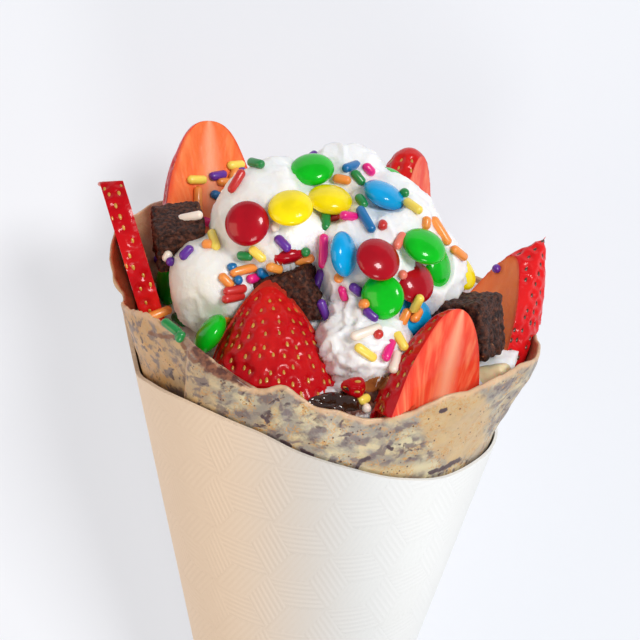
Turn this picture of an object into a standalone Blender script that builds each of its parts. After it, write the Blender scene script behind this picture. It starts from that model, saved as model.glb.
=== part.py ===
"""A dessert crepe rolled into a cone, in its embossed paper sleeve, lying on its back.

The crepe is drawn upright in cone coordinates, in millimetres: the tip of the cone is the origin,
+z runs up the axis to the mouth, x is to the right and the shown side faces -y. Then it is laid
down with the shown side up, so that it rests on a flat strip along the back of the sleeve.
Toppings are placed as they are seen on the shown side: a pixel of the 640 pixel photograph gives
a line of sight, and the topping sits where that line meets the cream, or at a stated depth.
"""

import math
import random
from typing import NamedTuple

import bmesh
import bpy
from mathutils import Matrix, Vector, noise

MM = 0.001
GAP = 0.35
FACET_SLACK = 0.17

# Cone: the sleeve's outer face, and how it lies on the table.
HALF_ANGLE = math.radians(14.2)
STRIP_ANGLE = math.radians(0.4)
STRIP_MIDDLE = 110.0

# Paper sleeve. Its rim is given as the distance down the cone's side from the tip, by azimuth.
PAPER_THICK = 0.6
SEAM_AZIMUTH = 150.0
SEAM_STEP = 0.5
SLEEVE_COLUMNS = 56
SLEEVE_SLANTS = (40.0, 90.0, 135.0)
SLEEVE_RIM = {
    -180: 194, -140: 190, -105: 188, -86: 187, -76: 174, -60: 176, -42: 177, -20: 175,
    -5: 171, 9: 168, 26: 164.5, 45: 162.5, 62: 163, 90: 163, 115: 170, 145: 185,
}

# Crepe: one sheet that goes once round the cone and on beneath its own outer edge. Its rim and how
# far that flares are given by the angle along the sheet, from its outer edge to its tucked end.
CREPE_THICK = 1.5
CREPE_BOTTOM = 24.0
CREPE_EDGE_AZIMUTH = -45.0
CREPE_EDGE_LEAN = 0.45
CREPE_EDGE_SLANT = 177.0
CREPE_OVERLAP = 52.0
CREPE_STEP_IN = 34.0
CREPE_COLUMNS = 80
HOLLOW_COLUMNS = 72
CREPE_RIM = {
    0: 191.5, 7: 190, 14: 187.3, 24: 185.4, 31: 186.3, 38: 183.5, 45: 181.5, 54: 181.1, 65: 180,
    75: 182.8, 83: 185.3, 92: 186.4, 105: 186.5, 120: 187.2, 140: 186.5, 160: 187, 180: 189,
    225: 195, 262: 201, 285: 203, 300: 200.5, 312: 197, 321: 190, 330: 189.4, 345: 192, 356: 191.7,
    366: 189, 385: 184, 412: 179,
}
CREPE_FLARE = {
    0: 1.2, 12: 0.5, 60: 0.2, 95: 1.2, 125: 3.2, 160: 2.4, 225: 0.6, 262: 1.0, 290: 2.4, 310: 4.2,
    318: 3.8, 325: 2.1, 336: 0.5, 350: 0.2, 412: 0.0,
}
CREPE_WAVE = 0.5
CREPE_RUFFLE = 0.7

# Line of sight to the shown side.
PHOTO_MIDDLE = 320.0
PIXEL = 0.2233
EYE_DISTANCE = 522.5
EYE_ELEVATION = math.radians(20.0)
EYE_LEAN = math.radians(4.7)
EYE_TARGET = Vector((-2.1, 0.0, 180.6))

# Whipped cream: lobes, each a middle and a radius, round one centre, on the filling of the cone.
# The filling's level is measured at the axis, and rises towards the back.
CREAM_CENTRE = Vector((0.0, 0.0, 166.0))
CREAM_LEVEL = 180.0
CREAM_LEVEL_RISE = 0.1
CREAM_BOTTOM = 26.0
CREAM_LOBES = (
    ((0, 4, 175), 27.0),
    ((-13, -4, 203), 14.5),
    ((1, 7, 208.5), 10.5),
    ((10, -1, 203), 12.0),
    ((-24, -9, 190), 11.5),
    ((8, -22, 184), 11.0),
    ((18, -6, 195), 11.0),
    ((2, 13, 192), 20.0),
    ((0, 27, 183), 16.0),
    ((9, -9, 198), 14.5),
)
CREAM_BLEND = 0.7
CREAM_LUMP = 1.1
CREAM_LUMP_SIZE = 9.0
CREAM_COLUMNS = 34
CREAM_STEPS = (6, 12, 18, 24, 30, 36, 42, 48, 54, 60, 67, 75, 85, 96, 110, 126, 144, 162, 174)


class Candy(NamedTuple):
    """A sugar-shelled chocolate lentil on the cream.

    It is seen at a pixel. Its face turns away from the viewer by an angle, towards one side of the
    picture (0 right, 90 up). Its middle is nearer to the viewer than the cream's surface there.
    """

    pixel: tuple
    turned: float
    towards: float
    nearer: float


CANDY_RADIUS = 4.85
CANDY_HALF_THICK = 2.5
CANDY_SIDES = 12
CANDY_RINGS = (-52, -18, 18, 52)
CANDIES = {
    "candy_green_top": Candy((312, 169.5), 49, 95, 1.8),
    "candy_yellow_left": Candy((290.5, 208), 42, 95, 1.4),
    "candy_yellow_right": Candy((330, 199.5), 58, 80, 1.4),
    "candy_red_left": Candy((247, 223.5), 14, 170, 1.3),
    "candy_red_middle": Candy((378, 259.5), 34, 50, 3.2),
    "candy_blue_middle": Candy((343.5, 254), 72, 5, 3.0),
    "candy_green_right": Candy((424, 246.5), 50, 62, 3.0),
    "candy_green_middle": Candy((382.5, 297), 26, 190, 2.4),
    "candy_red_right": Candy((414, 282), 38, 30, -1.6),
    "candy_green_far": Candy((437, 266), 60, 10, -5.0),
    "candy_yellow_far": Candy((458, 271), 60, 40, -9.5),
    "candy_blue_low": Candy((414, 314), 50, 20, 0.4),
    "candy_green_side": Candy((167, 284), 80, 180, 9.0),
    "candy_green_low": Candy((210, 334), 78, 145, 8.0),
    "candy_red_low": Candy((286, 253), 80, 100, -4.0),
    "candy_blue_top": Candy((384, 195), 72, 62, -1.0),
    "candy_green_back": Candy((381, 181), 60, 95, -6.0),
    "candy_orange_low": Candy((226, 313.5), 66, 100, -5.6),
}
# Those on the far side: their bearing round the cream from the front, and how far down from its top.
FAR_CANDIES = {
    "candy_red_behind": (185, 28),
    "candy_yellow_behind": (205, 54),
    "candy_orange_behind": (168, 48),
}


class Pose(NamedTuple):
    """Where a piece is seen, how far in front of the cone's axis, and its lean, pitch and turn."""

    pixel: tuple
    near: float
    lean: float
    pitch: float
    turn: float


class Berry(NamedTuple):
    """A strawberry's length, width, the power that rounds its tip, its cuts and its pose.

    Each cut is a point and the side taken off, in the berry's own x right, y to the tip and z to
    the viewer.
    """

    length: float
    width: float
    power: float
    cuts: tuple
    pose: Pose


BERRY_SEGMENTS = 16
BERRY_RINGS = 7
BERRY_SHOULDER = 0.3
BERRY_TAPER = 1.45
CUT_SNAP = 0.0001
SLAB = (((0, 0, 2.5), (0, 0, 1)), ((0, 0, -2.5), (0, 0, -1)), ((0, -16, 0), (0, -1, -0.27)))
WEDGE = (((-4.2, 13.9, 1.9), (-0.84, -0.16, 0.52)), ((0, -11, 0), (0, -1, 0)))
FRONT_OFF = (((0, 0, 0), (0, 0, 1)),)
BACK_OFF = (((0, 0, 0), (0, 0, -1)),)
BACK_PART_OFF = (((0, 0, 2.5), (0, 0, -1)),)
RIGHT_OFF = (((3.5, 0, 0), (0.9, 0, 0.43)),)
BERRIES = {
    "strawberry_left": Berry(38, 24, 0.5, SLAB, Pose((133, 253), 0, 197, 0, 86)),
    "strawberry_back_left": Berry(37, 24, 0.42, FRONT_OFF, Pose((212, 202), -17, 2, 0, 28)),
    "strawberry_front_left": Berry(43, 32, 0.66, BACK_PART_OFF, Pose((271, 382), 24.5, 1, 0, 0)),
    "strawberry_front_right": Berry(42, 29, 0.5, FRONT_OFF, Pose((440, 405), 31.7, -14, -7, 47)),
    "strawberry_right": Berry(44, 27, 1.05, WEDGE, Pose((495, 318), -6, -32, 0, 0)),
    "strawberry_back_right": Berry(36, 21, 0.5, RIGHT_OFF, Pose((403, 226), -19, -6, 0, 0)),
    "strawberry_small": Berry(5.2, 4.2, 0.5, BACK_OFF, Pose((353, 387), 35.4, 85, 0, 10)),
}

# Brownie cubes and a cube of banana: size, and pose.
CUBES = {
    "brownie_left": ((11, 10.5, 12), Pose((179, 236), 3, 2, 36, 8)),
    "brownie_front": ((14.5, 11.3, 9), Pose((288, 295), 15.6, 20, 14, -24)),
    "brownie_right": ((14, 13, 11.5), Pose((465, 326), 11.5, 6, 14, -28)),
    "banana_piece": ((8, 6.5, 6.5), Pose((492, 380), 16.5, 10, 0, -20)),
}
CUBE_BEVEL = 0.9

# Sugar sprinkles on the cream. Those seen: middle, angle to the horizontal and length, in pixels.
SPRINKLE_RADIUS = 1.0
SPRINKLE_SIDES = 5
SPRINKLE_LIFT = 0.35
SPRINKLE_STEEPEST = 0.4
SPRINKLES = (
    (196, 180, 0, 22), (197, 201, 90, 30), (217, 175, 10, 20), (224, 182, -5, 18), (233, 174, 70, 16),
    (238, 182, 60, 26), (218, 197, -25, 20), (257, 165, -12, 24), (191, 219, 12, 28), (207, 222, -20, 15),
    (215, 241, 108, 26), (208, 246, 0, 12), (283, 244, -45, 20), (246, 255, -5, 17), (258, 254, -42, 20),
    (243, 271, 15, 28), (262, 272, -40, 14), (253, 278, 15, 21), (226, 281, -45, 18), (234, 290, 10, 25),
    (232, 298, 12, 27), (188, 254, 48, 17), (350, 168, 20, 24), (357, 179, -50, 18), (342, 181, -10, 19),
    (368, 170, -45, 15), (360, 203, -55, 19), (366, 221, -60, 36), (325, 222, 88, 23), (334, 218, 10, 12),
    (348, 218, -8, 20), (398, 241, 60, 20), (413, 208, -35, 26), (424, 223, 80, 14), (439, 232, -58, 32),
    (457, 254, -38, 24), (325, 251, 88, 34), (318, 281, 68, 28), (326, 311, -68, 26), (345, 292, -75, 17),
    (355, 290, -40, 17), (370, 316, -38, 17), (366, 351, -35, 25), (388, 351, 70, 24), (393, 362, 78, 25),
    (399, 341, -60, 24), (416, 302, 62, 24), (405, 317, 65, 18), (415, 315, 60, 17), (366, 333, 20, 32),
)
# Those strewn over the far side, by a seeded draw: their bearings, angles from the top and lengths.
FAR_SPRINKLES = 9
FAR_BEARINGS = (110, 250)
FAR_DOWN = (12, 66)
FAR_LENGTHS = (3.4, 6.4)

COLOURS = {
    "paper": (0.86, 0.83, 0.78),
    "crepe": (0.78, 0.63, 0.40),
    "cream": (0.93, 0.90, 0.84),
    "strawberry": (0.70, 0.03, 0.02),
    "brownie": (0.06, 0.025, 0.015),
    "banana": (0.85, 0.76, 0.52),
    "red": (0.45, 0.005, 0.01),
    "green": (0.01, 0.45, 0.01),
    "yellow": (0.95, 0.70, 0.0),
    "blue": (0.0, 0.28, 0.60),
    "orange": (0.95, 0.28, 0.02),
}
MATT = ("paper", "crepe", "cream", "brownie", "banana")


def smooth(share):
    """Rises from 0 to 1 with level ends."""
    share = min(1.0, max(0.0, share))
    return share * share * (3 - 2 * share)


def along(keys, at, period=None):
    """The value at a place, on a smooth curve through the keys that never overshoots them."""
    places = sorted(keys)
    values = [keys[place] for place in places]
    if period:
        at = (at - places[0]) % period + places[0]
        values = [values[-1], *values, values[0], values[1]]
        places = [places[-1] - period, *places, places[0] + period, places[1] + period]
    at = min(max(at, places[0]), places[-1])
    rates = [0.0]
    for index in range(len(places) - 1):
        rates.append((values[index + 1] - values[index]) / (places[index + 1] - places[index]))
    rates.append(0.0)
    index = max(i for i in range(len(places) - 1) if places[i] <= at)
    slopes = []
    for before, after in (rates[index:index + 2], rates[index + 1:index + 3]):
        slopes.append(2 * before * after / (before + after) if before * after > 0 else 0.0)
    width = places[index + 1] - places[index]
    share = (at - places[index]) / width
    bend = share * (1 - share) * width * (slopes[0] * (1 - share) - slopes[1] * share)
    return values[index] + (values[index + 1] - values[index]) * smooth(share) + bend


def cone_point(azimuth, slant, out):
    """A point down the cone's side from the tip, moved square out of the cone's face."""
    angle = math.radians(azimuth)
    radius = slant * math.sin(HALF_ANGLE) + out * math.cos(HALF_ANGLE)
    height = slant * math.cos(HALF_ANGLE) - out * math.sin(HALF_ANGLE)
    return Vector((radius * math.sin(angle), -radius * math.cos(angle), height))


def laid_down(matrix):
    """The resting part's matrix, in metres, for one in cone coordinates and millimetres."""
    turn = Matrix.Rotation(HALF_ANGLE - STRIP_ANGLE - math.pi / 2, 4, "X")
    world = Matrix.Translation((0, -STRIP_MIDDLE, 0)) @ turn @ matrix
    world.translation *= MM
    return world


def on_table(point, floor):
    """A point of the resting part, in metres, for one in cone coordinates, held above a level."""
    place = laid_down(Matrix.Translation(point)).translation
    place.z = max(place.z, floor * MM)
    return place


def material(name):
    """One plain finish for each colour."""
    found = bpy.data.materials.get(name)
    if found:
        return found
    made = bpy.data.materials.new(name)
    made.use_nodes = True
    shader = made.node_tree.nodes["Principled BSDF"]
    shader.inputs["Base Color"].default_value = (*COLOURS[name], 1)
    shader.inputs["Roughness"].default_value = 0.7 if name in MATT else 0.2
    shader.inputs["Metallic"].default_value = 0.0
    return made


def add_object(name, mesh, colour, sharp_degrees):
    """Links a finished mesh as a named piece."""
    obj = bpy.data.objects.new(name, mesh)
    bpy.context.scene.collection.objects.link(obj)
    mesh.materials.append(material(colour))
    mesh.shade_smooth()
    mesh.set_sharp_from_angle(angle=math.radians(sharp_degrees))
    return obj


def turn_outwards(work):
    """Splits a closed bmesh into triangles that all face out of it."""
    bmesh.ops.recalc_face_normals(work, faces=work.faces)
    if work.calc_volume(signed=True) < 0:
        bmesh.ops.reverse_faces(work, faces=work.faces)
    bmesh.ops.triangulate(work, faces=work.faces)


def mesh_from(name, points, faces):
    """A closed mesh from points of the resting part, in metres."""
    mesh = bpy.data.meshes.new(name)
    mesh.from_pydata(points, [], faces)
    work = bmesh.new()
    work.from_mesh(mesh)
    turn_outwards(work)
    work.to_mesh(mesh)
    work.free()
    return mesh


def mesh_of(name, work):
    """A closed mesh, in metres, from a bmesh in millimetres."""
    bmesh.ops.scale(work, vec=(MM, MM, MM), verts=work.verts)
    turn_outwards(work)
    mesh = bpy.data.meshes.new(name)
    work.to_mesh(mesh)
    work.free()
    return mesh


def ring_faces(rings, columns):
    """Quads between closed rings of points, and the fans that close both ends on single points."""
    faces = []
    last = 1 + rings * columns
    for here in range(columns):
        beside = (here + 1) % columns
        faces.append((0, 1 + beside, 1 + here))
        for ring in range(rings - 1):
            low = 1 + ring * columns
            high = low + columns
            faces.append((low + here, low + beside, high + beside, high + here))
        end = last - columns
        faces.append((end + here, end + beside, last))
    return faces


def sleeve_rim(azimuth):
    """Slant of the paper's edge."""
    return along(SLEEVE_RIM, azimuth, 360)


def make_sleeve():
    """The paper: a thin cone, closed at its tip, with a lapped seam down the back."""
    azimuths = [360 * column / SLEEVE_COLUMNS for column in range(SLEEVE_COLUMNS)]
    points = [on_table(cone_point(0, 0, 0), 0)]
    for slant in (*SLEEVE_SLANTS, None):
        for azimuth in azimuths:
            past_seam = ((azimuth - SEAM_AZIMUTH) % 360) / 360
            lap = SEAM_STEP * smooth(1 - past_seam)
            points.append(on_table(cone_point(azimuth, slant or sleeve_rim(azimuth), lap), 0))
    for slant in (None, *reversed(SLEEVE_SLANTS)):
        for azimuth in azimuths:
            inside = cone_point(azimuth, slant or sleeve_rim(azimuth), -PAPER_THICK)
            points.append(on_table(inside, PAPER_THICK))
    points.append(on_table(Vector((0, 0, PAPER_THICK / math.sin(HALF_ANGLE))), PAPER_THICK))
    faces = ring_faces(2 * (len(SLEEVE_SLANTS) + 1), SLEEVE_COLUMNS)
    add_object("sleeve", mesh_from("sleeve", points, faces), "paper", 50)


def crepe_azimuth(sheet, slant):
    """Where on the cone a place on the sheet lies: its outer edge leans with the slant."""
    lean = CREPE_EDGE_LEAN * (slant - CREPE_EDGE_SLANT) * (1 - smooth(sheet / 60))
    return CREPE_EDGE_AZIMUTH + sheet + lean


def crepe_depth(sheet):
    """How far the sheet has stepped in to pass beneath its own outer edge."""
    return (CREPE_THICK + GAP) * smooth((sheet - 360 + CREPE_STEP_IN) / CREPE_STEP_IN)


def crepe_rim(sheet):
    """Slant of the crepe's edge, with small waves."""
    wave = math.sin(math.radians(sheet * 11)) + 0.6 * math.sin(math.radians(sheet * 23 + 50))
    return along(CREPE_RIM, sheet) + CREPE_WAVE * wave


def crepe_out(sheet, slant):
    """How far the crepe's outer face stands out of the sleeve's outer cone."""
    clear = crepe_rim(sheet) - sleeve_rim(crepe_azimuth(sheet, slant))
    share = smooth((slant - crepe_rim(sheet) + clear) / max(clear, 1.0)) * smooth(clear / 6)
    ruffle = CREPE_RUFFLE * math.sin(math.radians(sheet * 7 + 30)) * math.sin(math.radians(sheet * 3.1))
    flare = (along(CREPE_FLARE, sheet) + ruffle) * share
    return flare - PAPER_THICK - GAP - FACET_SLACK - crepe_depth(sheet)


def crepe_slants(sheet):
    """The rows of the sheet from the bottom up, with one just inside the paper's edge."""
    edge = crepe_rim(sheet)
    paper = min(sleeve_rim(crepe_azimuth(sheet, edge)) - 0.5, edge - 3)
    return (CREPE_BOTTOM, CREPE_BOTTOM + (paper - CREPE_BOTTOM) * 0.6, paper, (paper + edge) / 2, edge)


def make_crepe():
    """The sheet as one closed band, wrapped round the cone."""
    floor = PAPER_THICK + GAP
    outer = []
    inner = []
    for column in range(CREPE_COLUMNS + 1):
        sheet = (360 + CREPE_OVERLAP) * column / CREPE_COLUMNS
        deep = floor + crepe_depth(sheet)
        for slant in crepe_slants(sheet):
            azimuth = crepe_azimuth(sheet, slant)
            out = crepe_out(sheet, slant)
            outer.append(on_table(cone_point(azimuth, slant, out), deep))
            inner.append(on_table(cone_point(azimuth, slant, out - CREPE_THICK), deep + CREPE_THICK))
    rows = len(crepe_slants(0))
    back = len(outer)
    faces = []
    for column in range(CREPE_COLUMNS):
        for row in range(rows - 1):
            here = column * rows + row
            beside = here + rows
            faces.append((here, beside, beside + 1, here + 1))
            faces.append((back + here, back + here + 1, back + beside + 1, back + beside))
        for here in (column * rows, column * rows + rows - 1):
            faces.append((here, back + here, back + here + rows, here + rows))
    for column in (0, CREPE_COLUMNS):
        for row in range(rows - 1):
            here = column * rows + row
            faces.append((here, here + 1, back + here + 1, back + here))
    add_object("crepe", mesh_from("crepe", outer + inner, faces), "crepe", 50)


def hollow_out(azimuth, slant):
    """How far out the free space inside the crepe reaches, from the sleeve's outer cone."""
    sheet = (azimuth - CREPE_EDGE_AZIMUTH) % 360
    doubled = smooth((CREPE_OVERLAP + 24 - sheet) / 20)
    inner_face = crepe_out(sheet, slant) - CREPE_THICK - doubled * (CREPE_THICK + GAP)
    return inner_face - GAP - 2 * FACET_SLACK


def hollow_rim(azimuth):
    """Slant above which a topping may lean out over the crepe's edge."""
    sheet = (azimuth - CREPE_EDGE_AZIMUTH) % 360
    edge = crepe_rim(sheet)
    if sheet < CREPE_OVERLAP + 6:
        edge = max(edge, crepe_rim(min(sheet + 360, 360 + CREPE_OVERLAP)))
    if sheet > 340:
        edge = max(edge, crepe_rim(0) * smooth((sheet - 340) / 12))
    return edge + GAP + 2 * FACET_SLACK


def make_hollow():
    """The space that the filling and toppings may take: inside the crepe, and all of it above."""
    floor = PAPER_THICK + CREPE_THICK + 3 * GAP
    wide = 40.0
    far = 300.0
    azimuths = [360 * column / HOLLOW_COLUMNS for column in range(HOLLOW_COLUMNS)]
    sides = []
    for azimuth in azimuths:
        bottom, *slants = crepe_slants((azimuth - CREPE_EDGE_AZIMUTH) % 360)
        slants = [bottom + 8, *slants, hollow_rim(azimuth)]
        side = [(slant, hollow_out(azimuth, slant), floor) for slant in slants]
        side += [(slants[-1] + 1, wide, GAP), (far, wide, GAP)]
        sides.append(side)
    points = [on_table(Vector((0, 0, CREAM_BOTTOM - 4)), floor)]
    for row in range(len(sides[0])):
        for azimuth, side in zip(azimuths, sides):
            slant, out, level = side[row]
            points.append(on_table(cone_point(azimuth, slant, out), level))
    points.append(on_table(Vector((0, 0, far)), floor))
    return mesh_from("hollow", points, ring_faces(len(sides[0]), HOLLOW_COLUMNS))


def lobe_reach(direction):
    """How far the cream's lobes reach from its centre in one direction, softly joined."""
    total = 0.0
    for middle, radius in CREAM_LOBES:
        offset = Vector(middle) - CREAM_CENTRE
        ahead = offset.dot(direction)
        inside = ahead * ahead - offset.length_squared + radius * radius
        reach = ahead + math.sqrt(inside) if inside > 0 else ahead - 2 * math.sqrt(-inside)
        total += math.exp(CREAM_BLEND * reach)
    return math.log(total) / CREAM_BLEND


def fill_reach(direction):
    """How far the filling of the cone reaches from the cream's centre in one direction."""
    tangent = math.tan(HALF_ANGLE)
    apex = (PAPER_THICK + CREPE_THICK + 2 * GAP) / math.sin(HALF_ANGLE)
    closing = math.hypot(direction.x, direction.y) - direction.z * tangent
    reach = (CREAM_CENTRE.z - apex) * tangent / max(closing, 1e-6)
    rise = direction.z - CREAM_LEVEL_RISE * direction.y
    if rise > 0:
        reach = min(reach, (CREAM_LEVEL - CREAM_CENTRE.z) / rise)
    if direction.z < 0:
        reach = min(reach, (CREAM_CENTRE.z - CREAM_BOTTOM) / -direction.z)
    return reach


def cream_reach(direction):
    """The cream's surface: the lobes, with soft lumps, and the filling under them."""
    lobes = lobe_reach(direction)
    lobes += CREAM_LUMP * noise.noise((CREAM_CENTRE + direction * lobes) / CREAM_LUMP_SIZE)
    return max(lobes, fill_reach(direction))


def cream_surface(direction):
    """The point of the cream's surface in one direction from its centre."""
    return CREAM_CENTRE + direction * cream_reach(direction)


def cream_normal(direction):
    """The way out of the cream there."""
    side = direction.orthogonal().normalized() * 0.02
    other = direction.cross(side)
    middle = cream_surface(direction)
    first = cream_surface((direction + side).normalized()) - middle
    second = cream_surface((direction + other).normalized()) - middle
    normal = first.cross(second).normalized()
    return normal if normal.dot(direction) > 0 else -normal


def cream_bearing(bearing, down):
    """A direction from the cream's centre: round from the front, and down from the cone's axis."""
    bearing = math.radians(bearing)
    down = math.radians(down)
    return Vector((math.sin(down) * math.sin(bearing), -math.sin(down) * math.cos(bearing), math.cos(down)))


def view_axes():
    """Right, up and towards the viewer, as seen on the shown side, in cone coordinates."""
    back = Vector((0, -math.cos(EYE_ELEVATION), math.sin(EYE_ELEVATION)))
    level = Vector((1, 0, 0))
    rise = back.cross(level)
    right = math.cos(EYE_LEAN) * level + math.sin(EYE_LEAN) * rise
    up = math.cos(EYE_LEAN) * rise - math.sin(EYE_LEAN) * level
    return right, up, back


def sight_line(pixel):
    """The eye's place and the direction in which a pixel of the photograph is seen."""
    right, up, back = view_axes()
    eye = EYE_TARGET + EYE_DISTANCE * back
    across = (pixel[0] - PHOTO_MIDDLE) * PIXEL
    rise = (PHOTO_MIDDLE - pixel[1]) * PIXEL
    target = EYE_TARGET + across * right + rise * up
    return eye, (target - eye).normalized()


def seen_at(pixel, near):
    """The place seen at a pixel, so far in front of the cone's axis."""
    eye, direction = sight_line(pixel)
    return eye + direction * ((-near - eye.y) / direction.y)


def on_cream(pixel):
    """Where a line of sight first meets the cream, or passes nearest to it, and the way out there."""
    eye, direction = sight_line(pixel)
    nearest = math.inf
    outward = None
    for step in range(240):
        offset = eye + direction * (EYE_DISTANCE - 70 + step * 0.5) - CREAM_CENTRE
        clear = offset.length - cream_reach(offset.normalized())
        if clear < nearest:
            nearest = clear
            outward = offset.normalized()
        if clear <= 0:
            break
    return cream_surface(outward), cream_normal(outward)


def facing(turned, towards):
    """A direction turned away from the viewer, towards one side of the picture."""
    right, up, back = view_axes()
    turned = math.radians(turned)
    towards = math.radians(towards)
    side = math.cos(towards) * right + math.sin(towards) * up
    return math.cos(turned) * back + math.sin(turned) * side


def looking_along(direction):
    """A rotation that turns +y to a direction."""
    return direction.to_track_quat("Y", "Z").to_matrix().to_4x4()


def posed(pose):
    """A matrix that puts a piece's own x, y, z where the viewer sees right, up and nearer."""
    axes = Matrix(view_axes()).transposed()
    lean = Matrix.Rotation(math.radians(pose.lean), 3, "Z")
    pitch = Matrix.Rotation(math.radians(pose.pitch), 3, "X")
    turn = Matrix.Rotation(math.radians(pose.turn), 3, "Y")
    place = Matrix.Translation(seen_at(pose.pixel, pose.near))
    return laid_down(place @ (axes @ lean @ pitch @ turn).to_4x4())


def turned_solid(profile, segments):
    """A bmesh lathed round y from (radius, y) points, whose ends lie on the axis."""
    work = bmesh.new()
    first = work.verts.new((0, profile[0][1], 0))
    last = work.verts.new((0, profile[-1][1], 0))
    rings = []
    for radius, height in profile[1:-1]:
        angles = [2 * math.pi * (segment + 0.5) / segments for segment in range(segments)]
        rings.append([work.verts.new((radius * math.cos(a), height, radius * math.sin(a))) for a in angles])
    for here in range(segments):
        beside = (here + 1) % segments
        work.faces.new((first, rings[0][here], rings[0][beside]))
        work.faces.new((last, rings[-1][beside], rings[-1][here]))
        for low, high in zip(rings, rings[1:]):
            work.faces.new((low[here], high[here], high[beside], low[beside]))
    return work


def berry_radius(share, berry):
    """A strawberry's radius from its hull end, 0, to its tip, 1."""
    if share < BERRY_SHOULDER:
        past = (BERRY_SHOULDER - share) / BERRY_SHOULDER
        return berry.width / 2 * math.sqrt(max(0.0, 1 - past ** 2.2))
    past = (share - BERRY_SHOULDER) / (1 - BERRY_SHOULDER)
    return berry.width / 2 * max(0.0, 1 - past ** BERRY_TAPER) ** berry.power


def berry_mesh(name, berry):
    """A strawberry with its middle at the origin and its tip at +y, cut by planes."""
    profile = []
    for ring in range(BERRY_RINGS + 1):
        share = 0.5 - 0.5 * math.cos(math.pi * ring / BERRY_RINGS)
        profile.append((berry_radius(share, berry), (share - 0.5) * berry.length))
    work = turned_solid(profile, BERRY_SEGMENTS)
    for place, side in berry.cuts:
        cut = bmesh.ops.bisect_plane(
            work, geom=[*work.verts, *work.edges, *work.faces], dist=CUT_SNAP,
            plane_co=place, plane_no=side, clear_outer=True,
        )
        rim = [edge for edge in cut["geom_cut"] if isinstance(edge, bmesh.types.BMEdge)]
        bmesh.ops.contextual_create(work, geom=rim)
    return mesh_of(name, work)


def candy_mesh():
    """A lentil: two domes that meet at a rounded rim, facing +y."""
    profile = [(0.0, -CANDY_HALF_THICK)]
    for degrees in CANDY_RINGS:
        angle = math.radians(degrees)
        profile.append((CANDY_RADIUS * math.cos(angle), CANDY_HALF_THICK * math.sin(angle)))
    profile.append((0.0, CANDY_HALF_THICK))
    return mesh_of("candy", turned_solid(profile, CANDY_SIDES))


def cube_mesh(name, size):
    """A block with worn edges."""
    work = bmesh.new()
    bmesh.ops.create_cube(work, size=1.0)
    bmesh.ops.scale(work, vec=size, verts=work.verts)
    bmesh.ops.bevel(work, geom=work.edges[:], offset=CUBE_BEVEL, segments=1, affect="EDGES")
    return mesh_of(name, work)


def placed_toppings():
    """Every topping's mesh and place, by its name. Candies share one mesh."""
    placed = {}
    for name, berry in BERRIES.items():
        placed[name] = berry_mesh(name, berry), posed(berry.pose)
    for name, (size, pose) in CUBES.items():
        placed[name] = cube_mesh(name, size), posed(pose)
    lentil = candy_mesh()
    for name, seen in CANDIES.items():
        eye, direction = sight_line(seen.pixel)
        surface, _ = on_cream(seen.pixel)
        place = eye + direction * ((surface - eye).dot(direction) - seen.nearer)
        turn = looking_along(facing(seen.turned, seen.towards))
        placed[name] = lentil, laid_down(Matrix.Translation(place) @ turn)
    for name, bearing in FAR_CANDIES.items():
        outward = cream_normal(cream_bearing(*bearing))
        place = cream_surface(cream_bearing(*bearing)) + outward
        placed[name] = lentil, laid_down(Matrix.Translation(place) @ looking_along(outward))
    return placed


def colour_of(name):
    """The finish that a topping's name gives."""
    kind, second = name.split("_")[:2]
    return second if kind == "candy" else kind


def swollen(mesh, by):
    """A copy of a mesh, every face moved out by the same distance, to cut a clear seat with."""
    work = bmesh.new()
    work.from_mesh(mesh)
    work.normal_update()
    moved = [(vert, vert.normal * vert.calc_shell_factor() * by * MM) for vert in work.verts]
    for vert, step in moved:
        vert.co += step
    seat = bpy.data.meshes.new(mesh.name + "_seat")
    work.to_mesh(seat)
    work.free()
    return seat


def boolean(obj, operation, others):
    """Joins placed meshes to an object, or cuts them from it, in one Boolean on a collection."""
    group = bpy.data.collections.new(operation)
    bpy.context.scene.collection.children.link(group)
    for mesh, place in others:
        helper = bpy.data.objects.new(mesh.name, mesh)
        helper.matrix_world = place
        group.objects.link(helper)
    modifier = obj.modifiers.new(operation, "BOOLEAN")
    modifier.operation = operation
    modifier.operand_type = "COLLECTION"
    modifier.collection = group
    bpy.context.view_layer.update()
    result = obj.evaluated_get(bpy.context.evaluated_depsgraph_get())
    joined = bpy.data.meshes.new_from_object(result)
    obj.modifiers.clear()
    obj.data = joined
    for helper in list(group.objects):
        bpy.data.objects.remove(helper)
    bpy.data.collections.remove(group)


def keep_largest(obj):
    """Drops loose scraps, so that a node stays one solid."""
    work = bmesh.new()
    work.from_mesh(obj.data)
    left = set(work.verts)
    groups = []
    while left:
        group = set()
        edge = [left.pop()]
        while edge:
            vert = edge.pop()
            group.add(vert)
            joined = {link.other_vert(vert) for link in vert.link_edges} & left
            left -= joined
            edge.extend(joined)
        groups.append(group)
    groups.sort(key=len, reverse=True)
    for group in groups[1:]:
        bmesh.ops.delete(work, geom=list(group), context="VERTS")
    work.to_mesh(obj.data)
    work.free()


def cream_core():
    """The cream without its sprinkles."""
    points = [on_table(cream_surface(Vector((0, 0, 1))), 0)]
    for down in CREAM_STEPS:
        for column in range(CREAM_COLUMNS):
            direction = cream_bearing(360 * column / CREAM_COLUMNS, down)
            points.append(on_table(cream_surface(direction), 0))
    points.append(on_table(cream_surface(Vector((0, 0, -1))), 0))
    return mesh_from("cream", points, ring_faces(len(CREAM_STEPS), CREAM_COLUMNS))


def heading_seen(pixel, degrees, outward):
    """The direction along a surface that is seen at an angle to the horizontal."""
    right, up, _ = view_axes()
    _, direction = sight_line(pixel)
    angle = math.radians(degrees)
    wanted = math.cos(angle) * right + math.sin(angle) * up
    return wanted + direction * wanted.dot(outward) / max(-direction.dot(outward), SPRINKLE_STEEPEST)


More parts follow.
